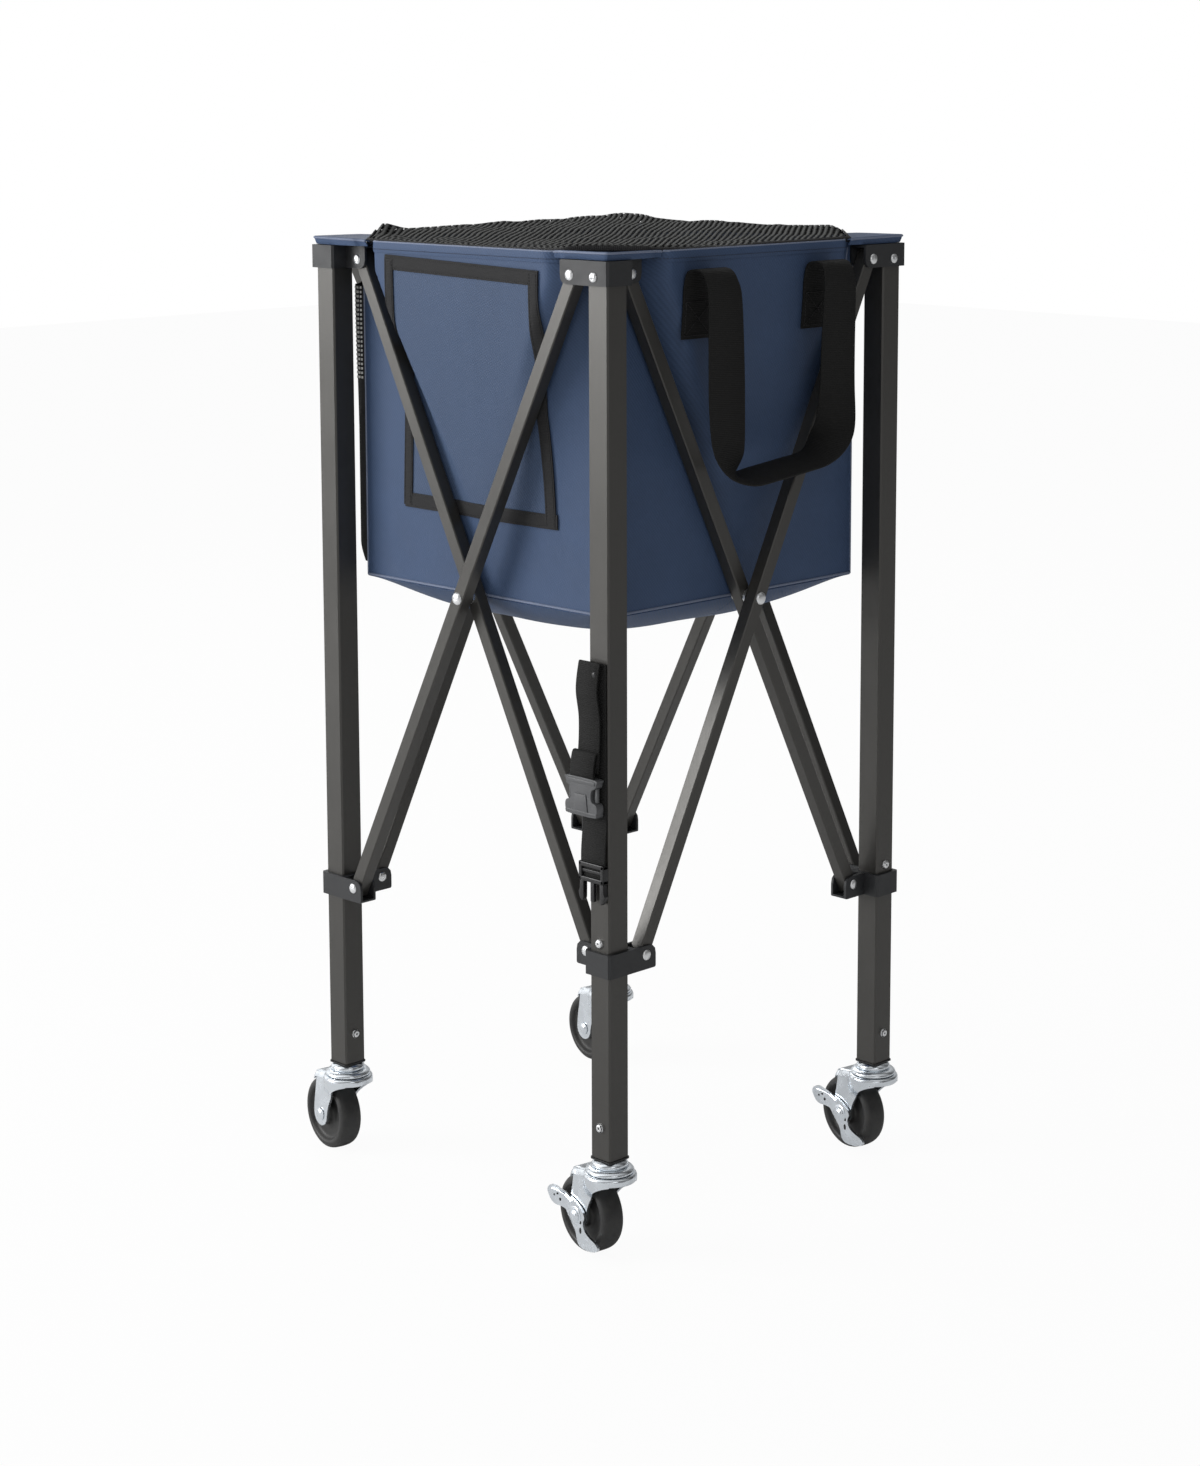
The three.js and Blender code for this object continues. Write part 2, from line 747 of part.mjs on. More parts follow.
// Half of the lid, from the crease at y = 0 towards -Y, with its edge turned down to the rim
function lidHalfPanel(length) {
  const step = lidShoulder / lidHalf / 2;
  const inside = evenShares(panelCells).map((u) => mix(step, 1 - step, u));
  const run = lidShoulder / length;
  return sheet(
    [0, ...inside, 1],
    [0, 0.25, 0.5, 0.75, 1 - run, 1],
    (u, v) => {
      const x = mix(-lidHalf, lidHalf, u);
      const y = -mix(creaseGap / 2, length, v);
      const edge = Math.min(lidHalf - Math.abs(x), (1 - v) * length);
      const corner = Math.abs((x * y) / lidHalf / lidHalf) ** 3;
      const sag = lidSag * Math.sin(Math.PI * u) * Math.cos(quarterTurn * v);
      return new THREE.Vector3(x, y, lidRise * ease(edge / lidShoulder) + lidCornerRise * corner - sag);
    },
    new THREE.Vector3(0, 0, -cloth),
  );
}

// Net pocket on the front half of the left wall, from its third row to the foot of the bracket's recess
function netPocket() {
  const middle = (wallColumnCount - 1) / 2;
  return sheetOnWall([middle - 1, wallColumnCount - 1], [3, wallRows.indexOf(recessFoot)], pocketCloth, (u, v) => {
    const swell = pocketMouth * ease(v) * ease(2 * u - 1);
    return clearance + pocketCloth + swell;
  });
}

// Handle stations on the right wall: x, share of the spread, height and turn in quarter turns.
// Its tabs are sewn to the wall and arch out to a crest, where the loop swings.
const handleSpreadHalf = handleSpread / 2;
const handleWall = wallReach(handleSpreadHalf, recessTop) + clearance + webbing / 2;
const handleOut = handleWall + handleStandOff;
const handleArch = recessTop - tabFoot;
const crest = [mix(handleWall, handleOut, 0.5), 1, recessTop + handleArch * 0.2, 1];

// The width direction is along the wall at the tabs, and turns across it at the bottom of the loop
function handleStation([x, spreadShare, z, turn], sign) {
  return {
    point: new THREE.Vector3(x, sign * spreadShare * handleSpreadHalf, z),
    across: new THREE.Vector3(Math.cos(turn * quarterTurn), Math.sin(turn * quarterTurn), 0),
  };
}

function handleTabs() {
  const sewn = (z) => wallReach(handleSpreadHalf, z) + webbing / 2 - cloth / 2;
  const [crestX, , crestZ] = crest;
  const rows = [
    [sewn(tabFoot), 1, tabFoot, 1],
    [sewn(recessFoot), 1, recessFoot, 1],
    [sewn(recessTop), 1, recessTop, 1],
    [mix(handleWall, handleOut, 0.15), 1, recessTop + handleArch * 0.14, 1],
    [crestX - handleHinge, 1, crestZ, 1],
    crest,
  ];
  return [-1, 1].map((sign) =>
    ribbon(
      rows.map((row) => handleStation(row, sign)),
      handleWidth,
      webbing,
    ),
  );
}

function handleLoop() {
  const foot = recessTop - handleDrop;
  const [crestX, , crestZ] = crest;
  const start = crestX + clearance;
  const bottom = mix(handleOut, handleWall, 0.15);
  const shares = [
    [start, 1, crestZ, 1],
    [start + handleHinge, 1, crestZ, 1],
    [mix(handleWall, handleOut, 0.88), 0.98, recessTop + handleArch * 0.06, 0.9],
    [handleOut, 0.96, recessTop - handleArch * 0.3, 0.7],
    [handleOut, 0.94, mix(recessTop, foot, 0.4), 0.58],
    [handleOut, 0.93, mix(recessTop, foot, 0.62), 0.5],
    [handleOut, 0.91, mix(recessTop, foot, 0.82), 0.42],
    [mix(handleOut, handleWall, 0.1), 0.82, mix(recessTop, foot, 0.94), 0.25],
    [bottom, 0.6, mix(recessTop, foot, 0.99), 0.08],
    [bottom, 0.25, foot, 0],
  ];
  const near = shares.map((row) => handleStation(row, -1));
  const far = shares.map((row) => handleStation(row, 1)).reverse();
  return ribbon(near.concat(far), handleWidth, webbing);
}

// Strap on the front right leg's front face: two tails hang from one screw, into the socket and the prong
const strapFace = -legAxis - legHalf - clearance;
const frontTailAtSocket = strapFace - strapCloth - clearance - socketThickness / 2;
const rearTailAtProng = strapFace - prongThickness / 2;

function strapTail(points) {
  const across = new THREE.Vector3(1, 0, 0);
  const stations = points.map(([x, y, z]) => ({ point: new THREE.Vector3(x, y, z), across }));
  return ribbon(stations, strapWidth - 2 * strapCloth, strapCloth);
}

function legStrap() {
  const top = legFoot + strapTop;
  const socketEnd = legFoot + socketFoot + socketLength;
  const prongEnd = legFoot + prongFoot + prongLength;
  const rear = strapFace - strapCloth / 2;
  const front = rear - strapCloth - clearance;
  const middle = legAxis - strapLean;
  const tail = strapTail([
    [middle, rear, top],
    [middle, rear, socketEnd - socketLength],
    [middle + strapLean / 3, rearTailAtProng, prongEnd + strapInset],
    [middle + strapLean / 3, rearTailAtProng, prongEnd - strapInset],
  ]);
  const frontTail = strapTail([
    [middle, front, top],
    [middle, front, mix(top, socketEnd, 0.5)],
    [middle - strapLean, frontTailAtSocket, socketEnd + strapInset],
    [middle - strapLean, frontTailAtSocket, socketEnd - strapInset],
  ]);
  const fold = slab(
    [middle - strapWidth / 2 + strapCloth, front - strapCloth / 2, top - strapInset],
    [middle + strapWidth / 2 - strapCloth, rear + strapCloth / 2, top + strapCloth],
  );
  return join(tail, frontTail, fold);
}

// Both buckle halves stand in XZ, with the origin in the middle of the lower edge
function buckleBody(width, length, thickness) {
  const half = width / 2;
  const outline = filleted([
    [-half, 0, buckleRadius],
    [half, 0, buckleRadius],
    [half, length, buckleRadius / 2],
    [-half, length, buckleRadius / 2],
  ]);
  const pocket = slab(
    [-strapWidth / 2 + strapCloth - clearance, -strapCloth / 2 - clearance, length - strapInset - clearance],
    [strapWidth / 2 - strapCloth + clearance, strapCloth / 2 + clearance, length + overrun],
  );
  return cut(prismY(outline, -thickness / 2, thickness / 2), pocket);
}

function buckleSocket() {
  const mouth = socketLength * 0.55;
  const inside = socketThickness / 2 - strapCloth;
  const half = socketWidth / 2;
  return cut(
    buckleBody(socketWidth, socketLength, socketThickness),
    slab([-half + 2 * strapCloth, -inside, -overrun], [half - 2 * strapCloth, inside, mouth]),
    slab([-half - overrun, -inside, mouth * 0.3], [-half + 3 * strapCloth, inside, mouth]),
    slab([half - 3 * strapCloth, -inside, mouth * 0.3], [half + overrun, inside, mouth]),
  );
}

function buckleProng() {
  const base = prongLength * 0.45;
  const half = prongWidth / 2;
  const arm = prongWidth / 6;
  const depth = prongThickness / 2 - strapCloth / 2;
  const reach = (low, high) => slab([low, -depth, 0], [high, depth, base + overrun]);
  const frame = cut(
    buckleBody(prongWidth, prongLength, prongThickness),
    slab([-half - overrun, -prongThickness, -overrun], [half + overrun, prongThickness, base]),
  );
  return join(frame, reach(-half, -half + arm), reach(-arm / 2, arm / 2), reach(half - arm, half));
}

// Assembly

const cart = new THREE.Group();
cart.position.x = (reachLeft - reachRight) / 2;

function add(parent, name, geometry, material, x = 0, y = 0, z = 0) {
  const mesh = new THREE.Mesh(geometry, material);
  mesh.name = name;
  mesh.position.set(x, y, z);
  parent.add(mesh);
  return mesh;
}

const legNames = ["front_right", "back_right", "back_left", "front_left"];
const faceNames = ["front", "right", "back", "left"];
const brakedLegs = ["front_right", "back_right"];
const diagonal = new THREE.Vector3(1, -1, 0).normalize();

legNames.forEach((legName, quarter) => {
  const faceName = faceNames[quarter];
  const turned = new THREE.Group();
  turned.rotation.z = quarter * quarterTurn;
  cart.add(turned);
  add(turned, `leg_${legName}`, legTube(), tubePaint, legAxis, -legAxis, legFoot);
  add(turned, `top_bracket_${legName}`, topBracket(), bracketPlastic, legAxis, -legAxis, bracketTop);
  add(turned, `end_plug_${legName}`, endPlug(), plugPlastic, legAxis, -legAxis, legFoot);
  const sliderFoot = legFoot + sliderRise;
  const slider = add(turned, `slider_${legName}`, sliderBracket(), bracketPlastic, legAxis, -legAxis, sliderFoot);
  slider.quaternion.setFromAxisAngle(diagonal, Math.PI);

  const pivot = legAxis - pivotReach;
  const outerY = -legAxis - outerBarOffset;
  const innerY = -legAxis + innerBarOffset;
  const outerBar = add(turned, `outer_bar_${faceName}`, scissorBar(), tubePaint, pivot, outerY, topPivot);
  outerBar.rotation.y = barAngle;
  const innerBar = add(turned, `inner_bar_${faceName}`, scissorBar(), tubePaint, -pivot, innerY, topPivot);
  innerBar.rotation.y = -barAngle;
  add(turned, `cross_rivet_${faceName}`, crossRivet(), plated, 0, -legAxis, crossHeight);
  const sewnOn = faceName === "right" ? handleTabs().map((tab) => tab.rotateZ(-quarterTurn)) : [];
  add(turned, `bag_wall_${faceName}`, join(bagWall(), ...sewnOn), bagCloth);

  const corner = new THREE.Vector3(legAxis, -legAxis, legFoot).applyAxisAngle(
    new THREE.Vector3(0, 0, 1),
    quarter * quarterTurn,
  );
  const caster = new THREE.Group();
  caster.position.copy(corner);
  caster.rotation.z = casterYaw;
  cart.add(caster);
  const braked = brakedLegs.includes(legName);
  add(caster, `caster_head_${legName}`, casterHead(), plated);
  add(caster, `caster_fork_${legName}`, casterFork(), plated);
  add(caster, `caster_wheel_${legName}`, casterWheel(), wheelRubber, -trail, 0, -axleDrop);
  add(caster, `caster_axle_${legName}`, casterAxle(braked), plated, -trail, 0, -axleDrop);
  if (braked) add(caster, `brake_lever_${legName}`, brakeLever(), plated, -trail, 0, -axleDrop);
});

const floorTop = bagFoot - clearance;
add(cart, "floor_front", floorHalf(), bagCloth, 0, -bagHalf, floorTop);
add(cart, "floor_back", floorHalf(), bagCloth, 0, bagHalf, floorTop).rotation.z = Math.PI;

const lidFoot = bagRim + clearance + cloth;
const lidBackLength = lidHalf - lidTapeWidth - clearance;
add(cart, "lid_front", lidHalfPanel(lidHalf), lidMesh, 0, 0, lidFoot);
add(cart, "lid_back", lidHalfPanel(lidBackLength), lidMesh, 0, 0, lidFoot).rotation.z = Math.PI;
const tapeTop = [lidHalf, lidHalf, lidFoot];
add(cart, "lid_tape", slab([-lidHalf, lidHalf - lidTapeWidth, lidFoot - cloth], tapeTop), blackWebbing);

add(cart, "net_pocket", netPocket(), blackWebbing).rotation.z = -quarterTurn;
add(cart, "handle", handleLoop(), blackWebbing);
add(cart, "leg_strap", legStrap(), blackWebbing);
const strapMiddle = legAxis - strapLean;
const socketX = strapMiddle - strapLean;
add(cart, "buckle_socket", buckleSocket(), bucklePlastic, socketX, frontTailAtSocket, legFoot + socketFoot);
const prongX = strapMiddle + strapLean / 3;
add(cart, "buckle_prong", buckleProng(), bucklePlastic, prongX, rearTailAtProng, legFoot + prongFoot);

export default cart;
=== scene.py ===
import math
import bmesh
import bpy
import numpy as np
from mathutils import Matrix, Vector, noise


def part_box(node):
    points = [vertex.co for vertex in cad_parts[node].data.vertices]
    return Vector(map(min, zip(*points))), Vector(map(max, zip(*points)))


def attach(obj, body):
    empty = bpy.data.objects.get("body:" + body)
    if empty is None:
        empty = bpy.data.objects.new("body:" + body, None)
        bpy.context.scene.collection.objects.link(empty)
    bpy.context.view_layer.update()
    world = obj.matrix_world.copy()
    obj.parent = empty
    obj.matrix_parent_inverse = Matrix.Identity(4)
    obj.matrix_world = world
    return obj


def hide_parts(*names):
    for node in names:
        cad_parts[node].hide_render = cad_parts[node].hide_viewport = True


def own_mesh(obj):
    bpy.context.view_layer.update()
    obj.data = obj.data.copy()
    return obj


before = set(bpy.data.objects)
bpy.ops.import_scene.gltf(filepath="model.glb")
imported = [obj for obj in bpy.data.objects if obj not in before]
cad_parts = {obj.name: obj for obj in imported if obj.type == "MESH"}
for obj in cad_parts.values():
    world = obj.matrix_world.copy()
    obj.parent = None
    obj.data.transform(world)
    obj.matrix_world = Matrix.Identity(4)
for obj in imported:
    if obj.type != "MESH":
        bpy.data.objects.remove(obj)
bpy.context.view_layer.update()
print("frame loaded with", len(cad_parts), "nodes")

# Folding ball cart. Lengths are in millimetres here and become metres in addPiece.
legNames = ["front_right", "back_right", "back_left", "front_left"]
faceNames = ["front", "right", "back", "left"]
brakedLegs = ["front_right", "back_right"]


def boxOf(node):
    low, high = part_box(node)
    return low * 1000, high * 1000


# Driving places, read from the frame
legLow, legHigh = boxOf("leg_front_right")
wallLow, wallHigh = boxOf("bag_wall_front")
floorLow, floorHigh = boxOf("floor_front")
rivetLow, rivetHigh = boxOf("cross_rivet_front")
wheelLow, wheelHigh = boxOf("caster_wheel_front_right")
centreX = (floorLow.x + floorHigh.x) / 2
cart = dict(
    middle=centreX,
    legAxis=(legLow.x + legHigh.x) / 2 - centreX,
    legHalf=(legHigh.x - legLow.x) / 2,
    legFoot=legLow.z,
    bracketTop=boxOf("top_bracket_front_right")[1].z,
    sliderFoot=boxOf("slider_front_right")[0].z,
    bagFoot=wallLow.z,
    bagRim=wallHigh.z,
    bagHalf=(floorHigh.x - floorLow.x) / 2,
    rimHalf=-wallLow.y,
    floorTop=floorHigh.z,
    crossHeight=(rivetLow.z + rivetHigh.z) / 2,
    lidFoot=boxOf("lid_front")[0].z,
    axleHeight=(wheelLow.z + wheelHigh.z) / 2,
)
pivotDrop = 13.6   # pins below a bracket's top, and above a slider's foot
pivotReach = 32    # pins from the leg's axis
topPivot = cart["bracketTop"] - pivotDrop
lowPivot = cart["sliderFoot"] + pivotDrop
barAngle = math.atan2(2 * (cart["legAxis"] - pivotReach), topPivot - lowPivot)


# Shader maths: a Wire is one output socket, and sums on it add Math nodes
class Wire:
    def __init__(self, paint, socket):
        self.paint, self.socket = paint, socket

    def math(self, operation, other=0.0, swapped=False):
        pair = [other, self] if swapped else [self, other]
        return self.paint.node("Math", {"operation": operation}, pair)

    def __add__(self, other):
        return self.math("ADD", other)

    def __sub__(self, other):
        return self.math("SUBTRACT", other)

    def __rsub__(self, other):
        return self.math("SUBTRACT", other, True)

    def __mul__(self, other):
        return self.math("MULTIPLY", other)

    def wave(self, period, kind="SINE"):
        return (self * (2 * math.pi / period)).math(kind)


# Nodes of one material, or of the world when it is given
class Paint:
    def __init__(self, name, world=None):
        self.owner = world or bpy.data.materials.new(name)
        self.owner.use_nodes = True
        self.tree = self.owner.node_tree
        self.tree.nodes.clear()

    def node(self, kind, settings=None, values=(), out=0):
        made = self.tree.nodes.new("ShaderNode" + kind)
        for key, value in (settings or {}).items():
            setattr(made, key, value)
        pairs = values.items() if isinstance(values, dict) else enumerate(values)
        for key, value in pairs:
            if isinstance(value, Wire):
                self.tree.links.new(value.socket, made.inputs[key])
            else:
                made.inputs[key].default_value = value
        return Wire(self, made.outputs[out])

    def places(self):                       # object coordinates, in millimetres
        vector = self.node("TexCoord", out=3)
        return self.node("VectorMath", {"operation": "SCALE"}, {0: vector, "Scale": 1000.0})

    def cloth(self):                        # the piece's own map: across and along, in millimetres
        return self.node("UVMap", {"uv_map": "cloth"})

    def mapped(self, vector, **values):
        return self.node("Mapping", values={"Vector": vector, **values})

    def axes(self, vector):
        split = self.node("SeparateXYZ", values=[vector]).socket.node
        return [Wire(self, socket) for socket in split.outputs]

    def noise(self, vector, size, detail=2.0, roughness=0.55):
        values = {"Vector": vector, "Scale": 1 / size, "Detail": detail, "Roughness": roughness}
        return self.node("TexNoise", values=values)

    def blend(self, share, first, second):
        return self.node("Mix", {"data_type": "RGBA"}, {0: share, 6: first, 7: second}, out=2)

    def tones(self, share, color, low, high):
        return self.blend(share, shade(*color, low), shade(*color, high))

    def range(self, value, low, high, first, second):
        ends = {"Value": value, "From Min": low, "From Max": high, "To Min": first, "To Max": second}
        return self.node("MapRange", values=ends)

    def finish(self, color, roughness, height, depth, strength, **plain):
        bump = self.node("Bump", values={"Height": height, "Distance": depth / 1000, "Strength": strength})
        values = {"Base Color": color, "Roughness": roughness, "Normal": bump}
        values.update({key.replace("_", " "): value for key, value in plain.items()})
        return self.close(self.node("BsdfPrincipled", values=values))

    def close(self, shader, kind="Material"):
        output = self.tree.nodes.new("ShaderNodeOutput" + kind)
        self.tree.links.new(shader.socket, output.inputs["Surface"])
        return self.owner


def shade(red, green, blue, level=1.0):
    return (red * level, green * level, blue * level, 1.0)


# Powder coat on the tubes: satin black with fine orange peel, faintly clouded and streaked
coat = dict(color=(0.062, 0.060, 0.056), cloud=90, streak=2.2, peel=1.4, roughness=0.34)


def framePaint():
    paint = Paint("framePaint")
    vector = paint.places()
    streaks = paint.noise(paint.mapped(vector, Scale=(1.0, 1.0, 0.06)), coat["streak"])
    share = paint.noise(vector, coat["cloud"]) * 0.6 + streaks * 0.4
    tint = paint.tones(share, coat["color"], 0.85, 1.18)
    rough = paint.range(share, 0.3, 0.7, coat["roughness"] - 0.05, coat["roughness"] + 0.07)
    peel = paint.noise(vector, coat["peel"])
    return paint.finish(tint, rough, peel, 0.012, 0.6, Metallic=0.5, Specular_IOR_Level=0.55)


# Moulded nylon of the brackets, plugs and buckles: fine grain with slight mottling
def mouldedPlastic(name, color, grain, roughness):
    paint = Paint(name)
    vector = paint.places()
    cloud = paint.noise(vector, 14)
    tint = paint.tones(cloud, color, 0.88, 1.14)
    rough = paint.range(cloud, 0.3, 0.7, roughness - 0.05, roughness + 0.06)
    return paint.finish(tint, rough, paint.noise(vector, grain, 3.0), 0.03, 0.7, Specular_IOR_Level=0.45)


# Bright zinc plate: bluish, with faint rolling marks and clouded patches
def zincPlate(name, color, roughness):
    paint = Paint(name)
    vector = paint.places()
    cloud = paint.noise(vector, 12)
    height = cloud + paint.noise(vector, 0.8) * 0.04
    tint = paint.tones(cloud, color, 0.9, 1.08)
    rough = paint.range(cloud, 0.3, 0.7, roughness - 0.05, roughness + 0.12)
    return paint.finish(tint, rough, height, 0.02, 0.3, Metallic=1.0)


# Grey tread and hub in one, with dust in its grain
rubber = dict(clean=(0.018, 0.018, 0.018), dusty=(0.034, 0.033, 0.031), grain=0.7, dust=9)


def wheelRubber():
    paint = Paint("wheelRubber")
    vector = paint.places()
    grain = paint.noise(vector, rubber["grain"], 3.0)
    dust = paint.noise(vector, rubber["dust"], 4.0, 0.65)
    share = paint.range(dust, 0.42, 0.75, 0.0, 1.0)
    tint = paint.blend(share, shade(*rubber["clean"]), shade(*rubber["dusty"]))
    return paint.finish(tint, paint.range(dust, 0.3, 0.8, 0.42, 0.62), grain, 0.04, 0.8)


# Woven cloth of the bag: coated plain weave, and a raised diagonal twill on the front panel
weave = dict(color=(0.045, 0.074, 0.142), yarn=1.5, twill=3.3, cloud=60, slub=2.2)


def bagCloth(name, color, twilled=False):
    paint = Paint(name)
    vector = paint.cloth()
    u, v = paint.axes(vector)[:2]
    cloud = paint.noise(vector, weave["cloud"], 3.0)
    slub = paint.noise(paint.mapped(vector, Scale=(1.0, 0.12, 1.0)), weave["slub"])
    plain = u.wave(weave["yarn"]) * v.wave(weave["yarn"])
    rib = (u + v * 0.8).wave(weave["twill"])
    cross = (u * 0.5 - v).wave(weave["twill"] * 0.75)
    raised = 1.0 if twilled else 0.4
    height = (rib * 0.8 + cross * 0.35) * raised + plain * 0.2 + slub * 0.5
    # Painted highlight and shade: ribs makes the colour lighter on the raised twill ribs and darker between them,
    # strongest on the front panel; cloud and slub are the cloth's own tone
    ribs = paint.range(rib + cross * 0.5, -1.2, 1.2, -0.2 * raised, 1.2 * raised)
    share = cloud * 0.7 + slub * 0.25 + ribs
    tint = paint.tones(share, color, 0.84, 1.2)
    rough = paint.range(share, 0.2, 0.9, 0.5, 0.62)
    return paint.finish(tint, rough, height, 0.16, 0.7, Specular_IOR_Level=0.22)


# Ribbed black tape: ribs run across it, with a fine twill between them
def ribbedTape(name, color, rib, depth):
    paint = Paint(name)
    vector = paint.cloth()
    u, v = paint.axes(vector)[:2]
    height = v.wave(rib) * 0.55 + (u + v).wave(rib * 0.8) * 0.4 + paint.noise(vector, 1.1, 3.0) * 0.5
    # Painted highlight and shade: the colour follows the height, lighter on the ribs and darker in the grooves
    # between them
    tint = paint.tones(paint.range(height, -0.8, 1.3, 0.0, 1.0), color, 0.6, 1.35)
    return paint.finish(tint, 0.72, height, depth, 0.8, Specular_IOR_Level=0.25)


# Open net: rows of round holes in a six way lattice, with raised threads between them.
# The lid's net has its rows turned a little, and the pocket's follows the cloth's own map.
net = dict(pitch=6.6, hole=0.2, turn=6.5, color=(0.048, 0.049, 0.048))


def openNet(name, pitch, hole, color, flat=True):
    paint = Paint(name)
    vector = paint.places() if flat else paint.cloth()
    turn = math.radians(net["turn"]) if flat else 0.0
    x, y = paint.axes(paint.mapped(vector, Rotation=(0.0, 0.0, -turn)))[:2]
    period, lean = pitch * math.sqrt(3) / 2, math.sqrt(3) / 2
    rows = [row.wave(period, "COSINE") for row in (y, x * lean + y * 0.5, x * lean - y * 0.5)]
    lattice = rows[0] * 0.22 + rows[1] * 0.53 + rows[2] * 0.25
    solid = (lattice - hole).math("LESS_THAN", 0.0)
    # Painted highlight and shade: the colour is lighter along the raised threads of one row and darker towards the
    # holes
    ridge = paint.range(rows[1] + paint.noise(vector, 45) * 0.6, -0.7, 1.1, 1.0, 0.0)
    height = (1 - lattice) + paint.noise(vector, 0.9) * 0.3
    tint = paint.tones(ridge, color, 0.1, 2.3)
    return paint.finish(tint, 0.85, height, 0.6, 1.0, Alpha=solid, Specular_IOR_Level=0.08)


paints = dict(
    frame=framePaint(),
    bracket=mouldedPlastic("bracketPlastic", (0.020, 0.021, 0.023), 0.9, 0.5),
    plug=mouldedPlastic("plugPlastic", (0.012, 0.012, 0.012), 0.8, 0.5),
    socket=mouldedPlastic("socketPlastic", (0.080, 0.082, 0.086), 0.8, 0.4),
    prong=mouldedPlastic("prongPlastic", (0.011, 0.011, 0.012), 0.8, 0.3),
    zinc=zincPlate("zincPlate", (0.80, 0.845, 0.89), 0.2),
    rivet=zincPlate("rivetSteel", (0.80, 0.81, 0.82), 0.26),
    # Dark discs on the brake lever: painted shadow in place of its holes and slots
    hole=mouldedPlastic("socketShadow", (0.01, 0.01, 0.01), 0.5, 0.8),
    rubber=wheelRubber(),
    cloth=bagCloth("bagCloth", weave["color"]),
    panel=bagCloth("panelCloth", (0.046, 0.072, 0.130), True),
    # A lighter navy for the rounded edges, seams and flank cords: painted highlight along them
    pipingHighlight=bagCloth("pipingHighlightCloth", (0.16, 0.19, 0.27)),
    thread=mouldedPlastic("stitchThread", (0.028, 0.040, 0.072), 0.3, 0.6),
    blackThread=mouldedPlastic("blackThread", (0.013, 0.013, 0.014), 0.3, 0.55),
    whiteThread=mouldedPlastic("whiteThread", (0.62, 0.62, 0.60), 0.3, 0.6),
    binding=ribbedTape("bindingTape", (0.020, 0.020, 0.021), 1.5, 0.15),
    zip=ribbedTape("zipTape", (0.014, 0.014, 0.015), 1.7, 0.3),
    webbing=ribbedTape("webbing", (0.0095, 0.0095, 0.0092), 1.7, 0.3),
    lid=openNet("lidNet", net["pitch"], net["hole"], net["color"]),
    pocket=openNet("pocketNet", 2.6, 0.45, (0.02, 0.02, 0.021), False),
)
print("materials ready:", len(paints))


# Shapes are (points, faces, maps) in millimetres; maps has one pair for each point, or is None
smoothAngle = 38   # edges sharper than this stay sharp, in degrees


def addPiece(name, shapes, material, place=Matrix(), angle=smoothAngle):
    points, faces, maps = [], [], []
    mapped = all(shape[2] is not None for shape in shapes)
    for shapePoints, shapeFaces, shapeMaps in shapes:
        start = len(points)
        points += [tuple((place @ Vector(point)) / 1000) for point in shapePoints]
        faces += [[start + i for i in face] for face in shapeFaces]
        maps += list(shapeMaps) if mapped else []
    mesh = bpy.data.meshes.new(name)
    mesh.from_pydata(points, [], faces)
    if mapped:
        layer = mesh.uv_layers.new(name="cloth")
        loopPoints = np.zeros(len(mesh.loops), int)
        mesh.loops.foreach_get("vertex_index", loopPoints)
        layer.data.foreach_set("uv", np.array(maps, np.float32)[loopPoints].ravel())
    smoothed(mesh, angle)
    mesh.materials.append(material)
    mesh.validate()
    return linked(name, mesh)


def smoothed(mesh, angle):
    mesh.shade_smooth()
    mesh.set_sharp_from_angle(angle=math.radians(angle))


def linked(name, data):
    piece = bpy.data.objects.new(name, data)
    bpy.context.collection.objects.link(piece)
    return piece


def moved(shape, matrix):
    flipped = matrix.determinant() < 0
    points = [matrix @ Vector(point) for point in shape[0]]
    faces = [list(reversed(face)) if flipped else face for face in shape[1]]
    return points, faces, shape[2]


def shift(x=0, y=0, z=0):
    return Matrix.Translation((x, y, z))


def shapeFrom(mesh):
    mesh.verts.ensure_lookup_table()
    mesh.verts.index_update()
    points = [vert.co.copy() for vert in mesh.verts]
    faces = [[vert.index for vert in face.verts] for face in mesh.faces]
    mesh.free()
    return points, faces, None


def mix(first, second, share):
    return first + (second - first) * share


def clamp(share):
    return min(max(share, 0), 1)


def ease(share):
    return (1 - math.cos(math.pi * clamp(share))) / 2


def bow(share):
    return math.sin(math.pi * share)


def shares(count):
    return [i / count for i in range(count + 1)]


def spread(count):
    return [mix(-1, 1, share) for share in shares(count)]


def lumps(x, y, z):
    return noise.noise(Vector((x, y, z)))


def lengthsAlong(path):
    return np.concatenate([[0], np.cumsum(np.linalg.norm(np.diff(path, axis=0), axis=1))])


# A smooth run through chosen points, several samples to each stretch
def smoothRun(points, steps, closed=False):
    rows = np.array(points, float)
    count = len(rows)
    made = []
    for i in range(count if closed else count - 1):
        if closed:
            a, b, c, d = (rows[(i + k) % count] for k in (-1, 0, 1, 2))
        else:
            b, c = rows[i], rows[i + 1]
            a = rows[i - 1] if i else 2 * b - c
            d = rows[i + 2] if i + 2 < count else 2 * c - b
        for step in range(steps):
            t = step / steps
            made.append(0.5 * (2 * b + (c - a) * t + (2 * a - 5 * b + 4 * c - d) * t ** 2
                               + (3 * b - a - 3 * c + d) * t ** 3))
    if not closed:
        made.append(rows[-1])
    return np.array(made)


